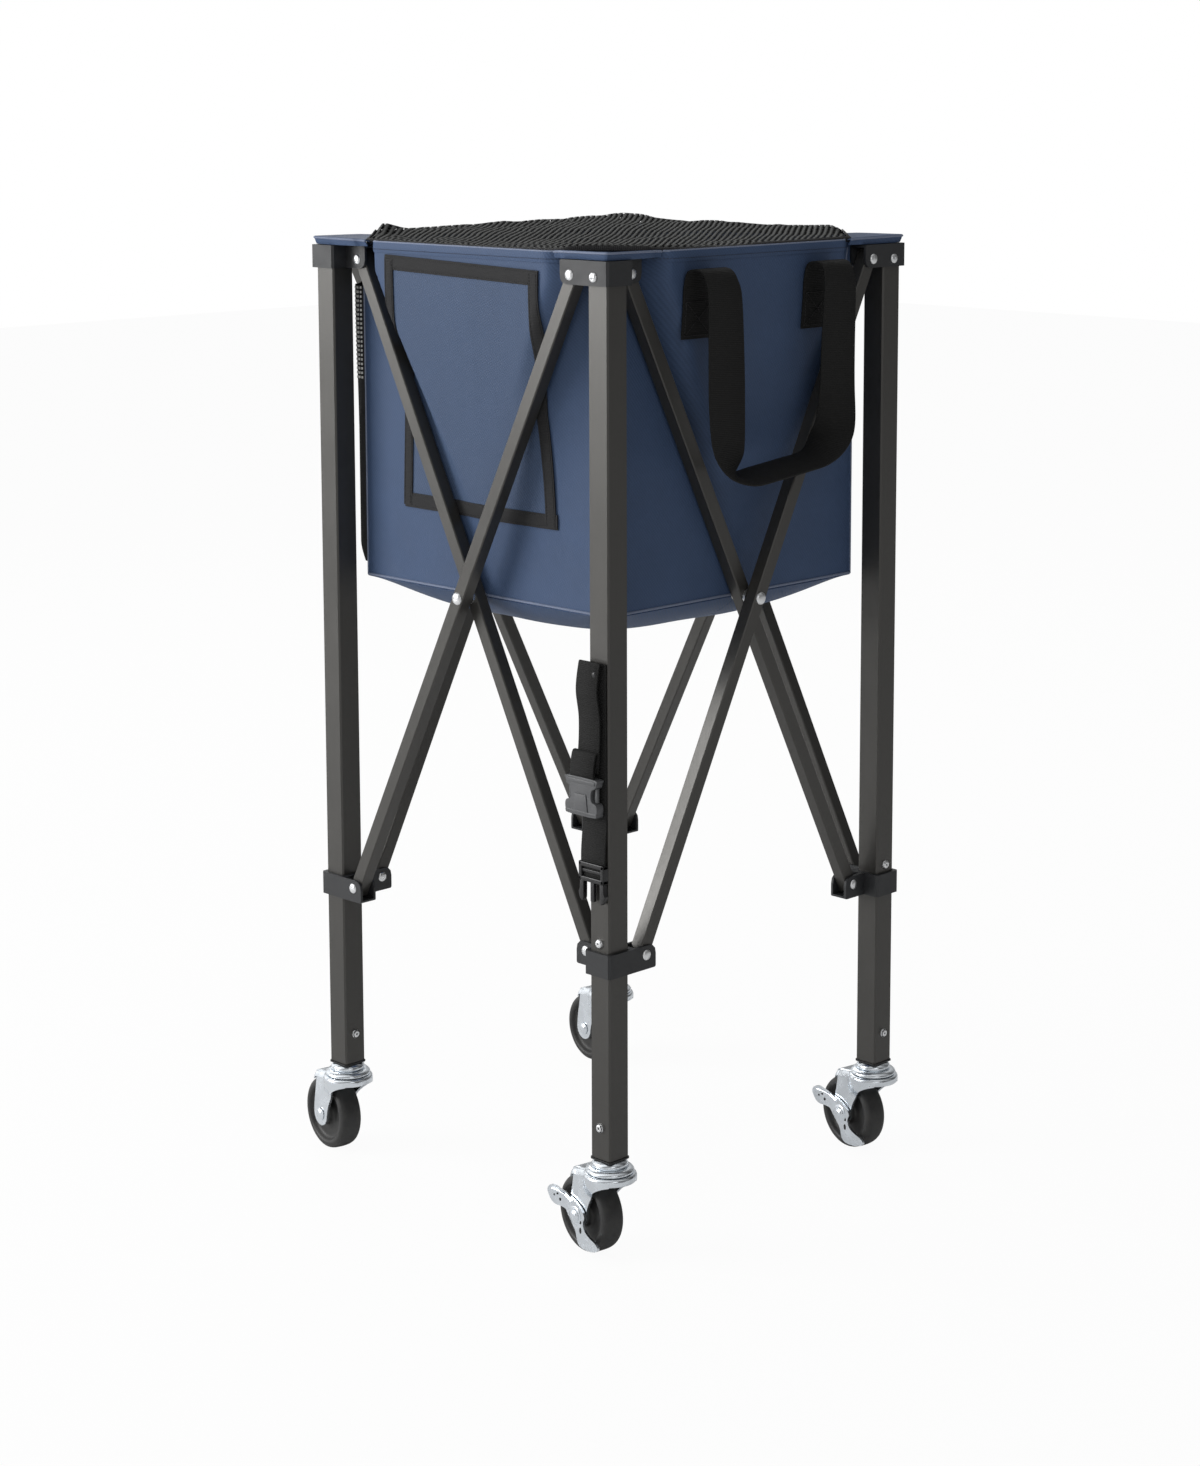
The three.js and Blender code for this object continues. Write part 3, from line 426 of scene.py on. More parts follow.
# A cloth of some thickness on place(u, v), whose outer face looks along du x dv
def clothOn(place, us, vs, thickness, mapOf=None):
    grid = np.array([[place(u, v) for u in us] for v in vs], float)
    across = np.gradient(grid, axis=1)
    along = np.gradient(grid, axis=0)
    normal = np.cross(across, along)
    normal /= np.maximum(np.linalg.norm(normal, axis=2, keepdims=True), 1e-9)
    inner = grid - normal * thickness
    rows, columns = len(vs), len(us)
    points = np.concatenate([grid.reshape(-1, 3), inner.reshape(-1, 3)])
    maps = [mapOf(u, v) if mapOf else (u, v) for v in vs for u in us] * 2
    faces = []

    def at(j, i, layer=0):
        return layer * rows * columns + j * columns + i

    for j in range(rows - 1):
        for i in range(columns - 1):
            faces.append([at(j, i), at(j, i + 1), at(j + 1, i + 1), at(j + 1, i)])
            faces.append([at(j, i, 1), at(j + 1, i, 1), at(j + 1, i + 1, 1), at(j, i + 1, 1)])
    end, last = rows - 1, columns - 1
    for j in range(end):
        faces.append([at(j, 0), at(j + 1, 0), at(j + 1, 0, 1), at(j, 0, 1)])
        faces.append([at(j, last), at(j, last, 1), at(j + 1, last, 1), at(j + 1, last)])
    for i in range(last):
        faces.append([at(0, i), at(0, i, 1), at(0, i + 1, 1), at(0, i + 1)])
        faces.append([at(end, i), at(end, i + 1), at(end, i + 1, 1), at(end, i, 1)])
    return points.tolist(), faces, maps


# A profile of (radius, height) turned about Z, capped where it starts and ends on the axis
def turnedShape(profile, steps):
    mesh = bmesh.new()
    rings = []
    for radius, height in profile:
        turns = [2 * math.pi * i / steps for i in range(steps)] if radius else [0]
        rings.append([mesh.verts.new((radius * math.cos(t), radius * math.sin(t), height)) for t in turns])
    closed = profile[0][0] > 0
    for low, high in zip(rings, rings[1:] + (rings[:1] if closed else [])):
        for i in range(steps):
            k = (i + 1) % steps
            corners = [low[i % len(low)], low[k % len(low)], high[k % len(high)], high[i % len(high)]]
            mesh.faces.new(list(dict.fromkeys(corners)))
    bmesh.ops.recalc_face_normals(mesh, faces=mesh.faces)
    return shapeFrom(mesh)


def bevelledEdges(mesh, width, segments):
    edges = [edge for edge in mesh.edges if len(edge.link_faces) == 2
             and edge.calc_face_angle(0) > math.radians(50)]
    bmesh.ops.bevel(mesh, geom=edges, offset=width, segments=segments, profile=0.6, affect="EDGES",
                    clamp_overlap=True)


# A plate with an outline in XZ, from low to high along Y, its edges rounded
def plateShape(outline, low, high, bevel, segments=2, bend=None):
    mesh = bmesh.new()
    near = [mesh.verts.new((x, low, z)) for x, z in outline]
    far = [mesh.verts.new((x, high, z)) for x, z in outline]
    mesh.faces.new(near)
    mesh.faces.new(list(reversed(far)))
    for i in range(len(outline)):
        k = (i + 1) % len(outline)
        mesh.faces.new([near[k], near[i], far[i], far[k]])
    bmesh.ops.recalc_face_normals(mesh, faces=mesh.faces)
    bevelledEdges(mesh, bevel, segments)
    bmesh.ops.triangulate(mesh, faces=[face for face in mesh.faces if len(face.verts) > 4])
    for vert in mesh.verts if bend else ():
        vert.co = bend(vert.co)
    return shapeFrom(mesh)


def blockShape(low, high, bevel, segments=2):
    outline = [(low[0], low[2]), (high[0], low[2]), (high[0], high[2]), (low[0], high[2])]
    return plateShape(outline, low[1], high[1], bevel, segments)


# Faces round a run of rings of so many points each, closed at both ends
def sleeveFaces(rings, count):
    faces = []
    for low in range(0, (rings - 1) * count, count):
        for i in range(count):
            k = (i + 1) % count
            faces.append([low + i, low + k, low + count + k, low + count + i])
    return faces + [list(reversed(range(count))), [(rings - 1) * count + i for i in range(count)]]


# A strap through stations of (point, width direction), with rounded edges
def strapShape(stations, width, thickness, steps=10):
    rows = smoothRun([list(point) + list(across) for point, across in stations], steps)
    centres, sides = rows[:, :3], rows[:, 3:]
    sides /= np.linalg.norm(sides, axis=1, keepdims=True)
    faceOut = np.cross(np.gradient(centres, axis=0), sides)
    faceOut /= np.linalg.norm(faceOut, axis=1, keepdims=True)
    half, deep = width / 2, thickness / 2
    flat, low = half - deep * 0.6, deep * 0.4
    section = [(-flat, -deep), (flat, -deep), (half, -low), (half, low), (flat, deep), (-flat, deep),
               (-half, low), (-half, -low)]
    points, maps = [], []
    for centre, side, out, along in zip(centres, sides, faceOut, lengthsAlong(centres)):
        points += [tuple(centre + side * a + out * b) for a, b in section]
        maps += [(a, along) for a, b in section]
    return points, sleeveFaces(len(rows), len(section)), maps


# A round cord of cloth along a path
def tubeShape(path, radius, sides=8):
    centres = np.array(path, float)
    tangents = np.gradient(centres, axis=0)
    tangents /= np.linalg.norm(tangents, axis=1, keepdims=True)
    side = np.cross(tangents[0], [0.31, 0.17, 0.93])   # any direction that no cord here runs in
    points, maps = [], []
    for centre, tangent, along in zip(centres, tangents, lengthsAlong(centres)):
        side = side - tangent * np.dot(side, tangent)
        side /= np.linalg.norm(side)
        other = np.cross(tangent, side)
        for i in range(sides):
            turn = 2 * math.pi * i / sides
            points.append(tuple(centre + (side * math.cos(turn) + other * math.sin(turn)) * radius))
            maps.append((turn * radius, along))
    return points, sleeveFaces(len(centres), sides), maps


# Geometry Nodes: heads set on points that have a facing, and stitches spaced along seams.
# Each tree ends with real geometry that has the given finish.
def nodeTree(name, sockets, build):
    tree = bpy.data.node_groups.new(name, "GeometryNodeTree")
    for label, kind in [("Geometry", "Geometry"), *sockets, ("Finish", "Material")]:
        tree.interface.new_socket(label, in_out="INPUT", socket_type="NodeSocket" + kind)
    tree.interface.new_socket("Geometry", in_out="OUTPUT", socket_type="NodeSocketGeometry")
    given, result = tree.nodes.new("NodeGroupInput").outputs, tree.nodes.new("NodeGroupOutput").inputs

    def add(kind, values=None, out=0, **settings):
        made = tree.nodes.new(kind)
        for key, value in settings.items():
            setattr(made, key, value)
        for key, value in (values or {}).items():
            if isinstance(value, bpy.types.NodeSocket):
                tree.links.new(value, made.inputs[key])
            else:
                made.inputs[key].default_value = value
        return made.outputs[out]

    facing = add("GeometryNodeInputNamedAttribute", {"Name": "facing"}, data_type="FLOAT_VECTOR")
    real = add("GeometryNodeRealizeInstances", {"Geometry": build(add, given, facing)})
    named = add("GeometryNodeSetMaterial", {"Geometry": real, "Material": given["Finish"]})
    tree.links.new(named, result["Geometry"])
    return tree


def buildHeads(add, given, facing):
    points = given["Geometry"]
    head = add("GeometryNodeObjectInfo", {"Object": given["Head"]}, "Geometry")
    turn = add("FunctionNodeAlignRotationToVector", {"Vector": facing}, axis="Z")
    return add("GeometryNodeInstanceOnPoints", {"Points": points, "Instance": head, "Rotation": turn})


def buildStitches(add, given, facing):
    line = add("GeometryNodeMeshToCurve", {"Mesh": given["Geometry"]})
    spaced = add("GeometryNodeResampleCurve", {"Curve": line, "Length": given["Spacing"]}, mode="LENGTH")
    along = add("FunctionNodeAlignRotationToVector", {"Vector": add("GeometryNodeInputTangent")}, axis="Z")
    up = add("FunctionNodeAlignRotationToVector", {"Rotation": along, "Vector": facing}, axis="X",
             pivot_axis="Z")
    sizes = {"Vertices": 6, "Side Segments": 2, "Radius": given["Thread"], "Depth": given["Length"]}
    thread = add("GeometryNodeMeshCylinder", sizes, "Mesh", fill_type="TRIANGLE_FAN")
    return add("GeometryNodeInstanceOnPoints", {"Points": spaced, "Instance": thread, "Rotation": up})


trees = dict(
    heads=nodeTree("setHeads", [("Head", "Object")], buildHeads),
    stitches=nodeTree("sewStitches", [(key, "Float") for key in ("Spacing", "Length", "Thread")], buildStitches),
)


# Runs a tree on points or lines that have a facing, and returns the plain mesh that it makes
def growPiece(name, tree, points, facings, edges, inputs, place):
    turn = place.to_3x3()
    mesh = bpy.data.meshes.new(name + "_seed")
    mesh.from_pydata([tuple((place @ Vector(point)) / 1000) for point in points], edges, [])
    attribute = mesh.attributes.new("facing", "FLOAT_VECTOR", "POINT")
    attribute.data.foreach_set("vector", np.array([turn @ Vector(f) for f in facings], np.float32).ravel())
    seed = linked(name + "_seed", mesh)
    modifier = seed.modifiers.new("grow", "NODES")
    modifier.node_group = trees[tree]
    for item in modifier.node_group.interface.items_tree:
        if item.in_out == "INPUT" and item.name in inputs:
            modifier[item.identifier] = inputs[item.name]
    graph = bpy.context.evaluated_depsgraph_get()
    grown = bpy.data.meshes.new_from_object(seed.evaluated_get(graph))
    bpy.data.objects.remove(seed)
    grown.name = name
    smoothed(grown, smoothAngle)
    return linked(name, grown)


def sewStitches(name, runs, finish, place, spacing=3.2, length=2.1, thread=0.32):
    points, facings, edges = [], [], []
    for path, out in runs:
        start = len(points)
        points += [tuple(point) for point in path]
        facings += [out] * len(path)
        edges += [(start + i, start + i + 1) for i in range(len(path) - 1)]
    sizes = {"Spacing": spacing / 1000, "Length": length / 1000, "Thread": thread / 1000}
    return growPiece(name, "stitches", points, facings, edges, {**sizes, "Finish": paints[finish]}, place)


def turned(quarter):
    return shift(cart["middle"]) @ Matrix.Rotation(quarter * math.pi / 2, 4, "Z")


def clothPiece(name, shapes, finish, quarter, angle=60):
    return addPiece(name, shapes, paints[finish], turned(quarter), angle)


def onBody(piece, body, slot, *replaces):
    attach(piece, body)
    if replaces:
        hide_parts(*replaces)


# Camera, floor and light
view = dict(place=(1.9905, -1.9807, 1.0815), yaw=135.238, pitch=8.281, roll=-0.169, focal=2876.9,
            columns=1200, rows=1466, across=604.1, down=500, sensor=36)


def makeCamera():
    yaw, pitch, roll = (math.radians(view[key]) for key in ("yaw", "pitch", "roll"))
    ahead = Vector((math.cos(yaw) * math.cos(pitch), math.sin(yaw) * math.cos(pitch), -math.sin(pitch)))
    data = bpy.data.cameras.new("camera")
    data.sensor_width = view["sensor"]
    data.lens = view["focal"] * view["sensor"] / view["rows"]
    data.shift_x = (view["columns"] / 2 - view["across"]) / view["rows"]
    data.shift_y = (view["down"] - view["rows"] / 2) / view["rows"]
    data.clip_start, data.clip_end = 0.05, 60
    camera = linked("camera", data)
    turn = ahead.to_track_quat("-Z", "Y").to_matrix().to_4x4() @ Matrix.Rotation(roll, 4, "Z")
    camera.matrix_world = Matrix.Translation(view["place"]) @ turn
    camera.location.x += cart["middle"] / 1000
    bpy.context.scene.camera = camera


studio = dict(floor=9.0, floorShade=0.8, floorGlow=0.95, fill=0.16, side=0.8, stripes=7, aim=(0, 0, 0.55))


def makeFloor():
    ends = [-studio["floor"] * 1000, studio["floor"] * 1000]
    paint = Paint("studioFloor")
    camera = paint.node("LightPath", out="Is Camera Ray")
    soft = paint.node("BsdfDiffuse", values={"Color": shade(1, 1, 1, studio["floorShade"])})
    glow = paint.node("Emission", values={"Color": shade(1, 1, 1), "Strength": 1.0})
    both = paint.node("MixShader", values={0: camera * studio["floorGlow"], 1: soft, 2: glow})
    addPiece("studioFloor", [clothOn(lambda u, v: (u, v, 0), ends, ends, 5)], paint.close(both))


# The room is white behind the cart, bright on the front's side and darker on the right's
def makeWorld():
    world = bpy.data.worlds.new("studio")
    bpy.context.scene.world = world
    room = Paint("studio", world)
    seen, glossy, through = (
        room.node("LightPath", out="Is " + kind + " Ray") for kind in ("Camera", "Glossy", "Transmission"))
    x, y, z = room.axes(room.node("TexCoord", out=0))
    level = room.range(x * -0.62 + y * -0.74 + z * 0.25, -0.7, 0.75, studio["fill"], studio["side"])
    stripes = ((x * 0.74 + y * -0.62) * studio["stripes"]).math("SINE")
    shiny = level * room.range(stripes, -0.5, 0.5, 0.45, 1.55)
    strength = room.node("Mix", {"data_type": "FLOAT"}, {0: glossy, 2: level, 3: shiny})
    strength = room.node("Mix", {"data_type": "FLOAT"},
                         {0: (seen + through).math("MINIMUM", 1.0), 2: strength, 3: 1.0})
    room.close(room.node("Background", values={"Color": shade(1, 1, 1), "Strength": strength}), "World")


lamps = dict(
    key=dict(place=(-2.25, -2.75, 1.5), size=1.8, power=90),
    rim=dict(place=(-2.6, 1.6, 2.6), size=1.6, power=20),
    near=dict(place=(3.2, -1.4, 1.9), size=1.4, power=7),
)


def makeLamps():
    for name, lamp in lamps.items():
        data = bpy.data.lights.new(name, "AREA")
        data.shape = "SQUARE"
        data.size, data.energy = lamp["size"], lamp["power"]
        piece = linked(name, data)
        piece.location = lamp["place"]
        piece.rotation_mode = "QUATERNION"
        piece.rotation_quaternion = (Vector(studio["aim"]) - piece.location).to_track_quat("-Z", "Y")


bpy.context.scene.view_settings.view_transform = "Standard"
makeCamera()
makeFloor()
makeWorld()
makeLamps()
print("camera, floor and light ready")


# Bag walls: s runs along a wall, z is height, and the wall swells between the bars and brackets
bag = dict(
    half=cart["bagHalf"], recess=167.2, rim=cart["rimHalf"], cloth=1.3, flank=26, clear=2.5, behindBar=185.6,
    barHalf=7, bracketReach=44, bracketHeight=22.2, ramp=17, creases=0.75, curl=1.4, curlWidth=6, hem=9.5,
    hemCloth=1.8, pipingHighlight=1.15, seam=1.2, cornerSeam=0.8, flankSeam=0.9, columns=96, rows=84, keep=0.209,
)
recessTop = cart["bracketTop"] - bag["bracketHeight"] - 0.3


def cornerHalf(z):
    return mix(bag["half"], bag["recess"], clamp((z - recessTop + bag["ramp"]) / bag["ramp"]))


def openHalf(z):
    centre = cart["legAxis"] - pivotReach - (topPivot - z) * math.tan(barAngle)
    edge = centre - bag["barHalf"] / math.cos(barAngle)
    return min(edge, cart["legAxis"] - bag["bracketReach"]) - bag["clear"]


def wallReach(s, z):
    plateau = ease((openHalf(z) - abs(s)) / bag["flank"])
    rise = ease((z - cart["crossHeight"]) / (cart["bagRim"] - cart["crossHeight"]))
    corner = cornerHalf(z)
    swollen = mix(corner, bag["rim"], rise)
    tucked = corner
    if s > 0:                               # the outer bar leaves more room than the inner one
        behind = max(min(swollen, bag["behindBar"]) - corner, 0)
        tucked += behind * ease((corner - s) / (corner - openHalf(z)))
    return mix(tucked, swollen, plateau)


# Each wall has creases of its own
def wallSeed(quarter):
    return 3.1 + quarter * 7.3


# Creases: soft folds that run up from the lower corners and down from the rim's ends
def crease(s, z, seed):
    low = max(0, 1 - (z - cart["bagFoot"]) / 150)
    folds = lumps(s * 0.012 + seed, z * 0.006, seed) * 1.5
    folds += lumps((s + z * 0.6) * 0.03, (z - s * 0.4) * 0.008, seed + 4) * 1.1 * low
    folds += lumps(s * 0.05, z * 0.012, seed + 9) * 0.5
    edge = min(1, (1 - abs(s) / bag["half"]) * 9) * min(1, (z - cart["bagFoot"]) / 14)
    top = min(1, max(0, (cart["bagRim"] - 8 - z) / 30) + 0.15)
    return folds * edge * top


def creasedReach(s, z, seed):
    return wallReach(s, z) + crease(s, z, seed) * bag["creases"]


def wallPoint(s, z, seed, out=0.0):
    inside = clamp((cornerHalf(z) - abs(s)) / bag["curlWidth"])
    curl = (1 - inside) ** 2 * bag["curl"]
    return (s, -(creasedReach(s, z, seed) - curl + out), z)


def makeWall(quarter):
    face, leg = faceNames[quarter], legNames[quarter]
    seed = wallSeed(quarter)
    foot, top = cart["bagFoot"], cart["bagRim"] - 0.5
    heights = [mix(foot, top, share) for share in shares(bag["rows"])]
    shape = clothOn(lambda u, z: wallPoint(u * (cornerHalf(z) - 0.3), z, seed), spread(bag["columns"]), heights,
                    bag["cloth"], lambda u, z: (u * bag["half"], z))
    wall = clothPiece("bagWall_" + face, [shape], "cloth", quarter)
    # Rim hem: a doubled band along the swollen part of the edge
    ends = openHalf(top) - 9

    def hemPlace(u, v):
        x, y, z = wallPoint(u * ends, mix(top - bag["hem"], top + 0.3, v), seed, 0.9)
        return (x, y - 0.5 * bow(v), z)

    shape = clothOn(hemPlace, spread(60), shares(6), bag["hemCloth"], lambda u, v: (u * ends, v * bag["hem"]))
    hem = clothPiece("rimHem_" + face, [shape], "cloth", quarter)
    # The rim's rolled edge is in the lighter cloth: a painted highlight along the rim
    edgePath = [(s, -creasedReach(s, top, seed) + 0.2, top + 0.5) for s in np.linspace(-ends, ends, 60)]
    pipingHighlight = clothPiece("rimEdge_" + face, [tubeShape(edgePath, bag["pipingHighlight"])], "pipingHighlight", quarter)
    stitchPath = [Vector(wallPoint(s, top - 6.2, seed, 1.55)) for s in np.linspace(-ends + 2, ends - 2, 50)]
    stitches = sewStitches("rimStitches_" + face, [(stitchPath, (0, -1, 0))], "thread", turned(quarter))
    # Side seams: a narrow lip down each corner, and flank pipings beside the brackets, all in the lighter cloth as
    # a painted highlight along them
    lips = []
    for sign in (-1, 1):
        path = [(sign * (cornerHalf(z) - 0.9), -cornerHalf(z) - 0.2, z)
                for z in np.linspace(foot, recessTop - bag["ramp"], 40)]
        flankPath = []
        for share in shares(14):
            z = mix(top - bag["hem"] + 2, recessTop - 6, share)
            s = sign * mix(openHalf(z) - 2.5, openHalf(z) - 5.5, bow(share))
            flankPath.append(wallPoint(s, z, seed, 0.4))
        lips += [tubeShape(path, bag["cornerSeam"], 6), tubeShape(flankPath, bag["flankSeam"], 6)]
    lip = clothPiece("sideSeams_" + face, lips, "pipingHighlight", quarter)
    # The foot seam's cord is in the lighter cloth too: a painted highlight along the seam
    reach = bag["half"] - 1
    footPath = [(s, -cart["bagHalf"] - 0.2, foot + 0.4) for s in np.linspace(-reach, reach, 30)]
    seam = clothPiece("footSeam_" + face, [tubeShape(footPath, bag["seam"])], "pipingHighlight", quarter)
    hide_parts("bag_wall_" + face)
    pieces = [wall, hem, pipingHighlight, stitches, lip, seam]
    for piece in pieces:
        onBody(piece, "leg_" + leg, "bag_fabric")
    return pieces


# Each of a wall's pieces gets a mesh of its own; the anchor at the wall's foot corner is worked out but not used
def foldAlongWall(pieces, quarter):
    anchor = turned(quarter) @ Vector((bag["half"], -bag["half"], cart["bagFoot"])) / 1000
    for piece in pieces:
        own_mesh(piece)


for quarter in range(4):
    foldAlongWall(makeWall(quarter), quarter)
print("bag walls sewn")


# Corner flaps: cloth that leaves the rim, lies over a bracket and is pinned on the leg's axis
flap = dict(start=130.5, inner=188, outer=203.5, cut=3.5, low=929.4, lift=932.4, drop=6.5, cloth=1.2, band=1.1,
            pipingHighlight=1.1, map=(150, 45))
flapPin = [(0, 5.2), (1.5, 5.2), (1.5, 1.6), (3, 1.4), (3.4, 0.8), (3.4, 0.1), (0, 0.1)]


def flapOuter():
    start, outer, bevel = flap["start"], flap["outer"], flap["outer"] - flap["cut"]
    corners = [(start, -outer + 5), (139, -outer + 4.2), (147, -outer + 1), (170, -outer), (bevel - 5, -outer),
               (bevel + 1, -outer + 0.6), (outer - 0.6, -bevel - 1), (outer, -bevel + 5), (outer, -170),
               (outer - 1, -147), (outer - 4.2, -139), (outer - 5, -start)]
    return smoothRun(corners, 6)


def flapHeight(share):                     # height of the outer edge, higher over the leg's corner
    return mix(cart["bagRim"] + 0.4, flap["lift"], bow(share) ** 0.8)


def makeFlap(quarter):
    leg, axis, bracket = legNames[quarter], cart["legAxis"], cart["bracketTop"]
    outer = flapOuter()
    last = len(outer) - 1
    start, end = np.array([flap["start"], -flap["inner"]]), np.array([flap["inner"], -flap["start"]])

    def sheet(u, v):
        x, y = mix(mix(start, end, u), outer[int(round(u * last))], v)
        wobble = lumps(x * 0.03, y * 0.03, quarter * 5.0) * 1.2
        return (x, y, mix(flap["low"], flapHeight(u), v ** 1.6) + wobble * v * (1 - v) * 2)

    def band(u, v):                         # under the edge, hanging to just above the bracket
        x, y = outer[int(round(u * last))]
        edge = flapHeight(u)
        tuck = Vector((x, y)).normalized() * (-2.2 * (1 - v) ** 1.5)
        return (x + tuck.x, y + tuck.y, mix(max(edge - flap["drop"], bracket + 0.5), edge - 0.1, v))

    wide, deep = flap["map"]
    shapes = [clothOn(sheet, shares(last), shares(12), flap["cloth"], lambda u, v: (u * wide, v * deep)),
              clothOn(band, shares(last), shares(5), flap["band"], lambda u, v: (u * wide, v * 8))]
    piece = clothPiece("cornerFlap_" + leg, shapes, "cloth", quarter)
    # The flap's edge cord is in the lighter cloth: a painted highlight along the edge
    edge = [(x, y, flapHeight(k / last) - 0.2) for k, (x, y) in enumerate(outer)]
    pipingHighlight = clothPiece("flapEdge_" + leg, [tubeShape(edge, flap["pipingHighlight"])], "pipingHighlight", quarter)
    shape = moved(turnedShape([(r, bracket + z) for r, z in flapPin], 20), shift(axis + 4, -axis - 4))
    pin = clothPiece("flapPin_" + leg, [shape], "whiteThread", quarter, smoothAngle)
    onBody(piece, "leg_" + leg, "bag_fabric")
    onBody(pipingHighlight, "leg_" + leg, "bag_fabric")
    onBody(pin, "leg_" + leg, "rivet_aluminium")


for quarter in range(4):
    makeFlap(quarter)
print("corner flaps laid")


# Front panel: a twill cloth with a ribbed binding on its four edges, overlapped at the corners
panel = dict(topLeft=(-101, 919.5), topRight=(110, 913), footLeft=(-111, 673.5), footRight=(103, 673),
             binding=12.5, cloth=0.6, tape=1.1, map=(215, 240))


def makePanel():
    width, height = panel["map"]
    wide = panel["binding"] / width         # the binding's width as a share of the panel's
    footLeft, footRight, topLeft, topRight = (
        np.array(panel[key]) for key in ("footLeft", "footRight", "topLeft", "topRight"))

    def onWall(a, b, out):
        s, z = mix(mix(footLeft, footRight, a), mix(topLeft, topRight, a), b)
        return wallPoint(s, z, wallSeed(0), out)

    inside = np.linspace(wide * 0.6, 1 - wide * 0.6, 60)
    shape = clothOn(lambda a, b: onWall(a, b, 0.75), inside, inside, panel["cloth"],
                    lambda a, b: (a * width, b * height))
    cloth = clothPiece("frontPanel", [shape], "panel", 0)
    # Each strip: its low and high ends, whether it lies level, and how far it stands out
    spans = [
        ((0, 1 - wide), (1, 1), True, 1.5),
        ((0.006, 0), (1.008, wide), True, 1.5),
        ((0, 0.008), (wide * 0.95, 0.985), False, 2.0),
        ((1 - wide, 0.003), (1, 0.994), False, 2.0),
    ]
    strips, runs = [], []
    for low, high, level, out in spans:
        def onStrip(a, b, more=0.0):
            share = (b - low[1]) / (high[1] - low[1]) if level else (a - low[0]) / (high[0] - low[0])
            return onWall(a, b, out + more + 0.35 * bow(share))

        long, short = np.linspace(0, 1, 50), np.linspace(0, 1, 5)
        us = low[0] + (high[0] - low[0]) * (long if level else short)
        vs = low[1] + (high[1] - low[1]) * (short if level else long)
        strips.append(clothOn(onStrip, us, vs, panel["tape"],
                              lambda a, b: (b * height, a * width) if level else (a * width, b * height)))
        for share in (0.14, 0.86):          # a row of stitches near either edge
            spots = [(mix(0.012, 0.988, t), share) for t in long]
            spots = spots if level else [spot[::-1] for spot in spots]
            path = [Vector(onStrip(mix(low[0], high[0], a), mix(low[1], high[1], b), 0.2)) for a, b in spots]
            runs.append((path, (0, -1, 0)))
    binding = clothPiece("panelBinding", strips, "binding", 0)
    stitches = sewStitches("bindingStitches", runs, "blackThread", turned(0), 2.9, 2.0, 0.25)
    for piece, slot in ((cloth, "bag_fabric"), (binding, "black_webbing"), (stitches, "black_webbing")):
        onBody(piece, "leg_front_right", slot)
    foldAlongWall([cloth, binding, stitches], 0)


makePanel()
print("front panel bound")


# Floor: two halves of one pouch that hangs below the foot seam
pouch = dict(sag=35, cells=64, cloth=1.3, gap=0.3)


def pouchHeight(x, y):
    ends = [max(1 - (abs(value) / bag["half"]) ** 4, 0) ** 0.85 for value in (x, y)]
    return cart["floorTop"] - (pouch["sag"] + lumps(x * 0.014, y * 0.014, 2.2) * 2.2) * ends[0] * ends[1]


def makeFloorHalf(side, sign):
    half = bag["half"] - 0.4
    ends = (-half, -pouch["gap"]) if sign < 0 else (pouch["gap"], half)
    us, vs = np.linspace(-half, half, pouch["cells"]), np.linspace(*ends, pouch["cells"] // 2)
    shape = clothOn(lambda x, y: (x, y, pouchHeight(x, y)), us, vs, pouch["cloth"])
    piece = clothPiece("bagFloor_" + side, [shape], "cloth", 0)
    onBody(piece, "floor_" + side, "bag_fabric", "floor_" + side)
    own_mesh(piece)


makeFloorHalf("front", -1)
makeFloorHalf("back", 1)
print("bag floor hung")


# Lid: a net with cut corners over a zip band, its back strip sewn to the rim
lid = dict(half=191, cut=327, nearRise=1.8, rise=7.2, cornerRise=5, shoulder=5, sag=5, backRise=3.2, cells=72,
           cloth=1.0, keep=0.319, gap=0.5, tape=6.3, band=0.7, foldEdge=196)
# Lumps of the net over what stands under it: middle, widths and height
lidLumps = [(-184, -136, 13, 24, 12), (140, 172, 34, 20, 6), (-150, 172, 30, 20, 4)]


def lidHalfAt(y):
    return min(lid["half"], lid["cut"] - abs(y))


def mound(x, y, middleX, middleY, wideX, wideY):
    return math.exp(-(((x - middleX) / wideX) ** 2 + ((y - middleY) / wideY) ** 2))


def lidHeight(x, y):
    edge = min(lidHalfAt(y) - abs(x), lid["half"] - abs(y), (lid["cut"] - abs(x) - abs(y)) * 0.7)
    inside = max(0.0, 1 - (x / lid["half"]) ** 2) * max(0.0, 1 - (y / lid["half"]) ** 2)
    far = max(0.0, (y - x) / lid["half"] / 2)
    ripple = lumps(x * 0.022, y * 0.022, 1.7) * 3.4 + lumps(x * 0.06, y * 0.06, 8.1) * 1.3
    raised = 0
    for *form, tall in lidLumps:
        raised += mound(x, y, *form) * tall
    near = 1 - min(1, max(edge, 0) / 60)
    rise = mix(lid["nearRise"], lid["rise"], ease((y - x + 150) / 300))
    rise += lid["cornerRise"] * mound(x, y, 165, -165, 62, 62)
    height = rise * ease(edge / lid["shoulder"]) - lid["sag"] * inside
    raised = far * lid["backRise"] + ripple * (0.5 + near * 0.5) + raised
    return cart["lidFoot"] + height + raised * ease(edge / 14)


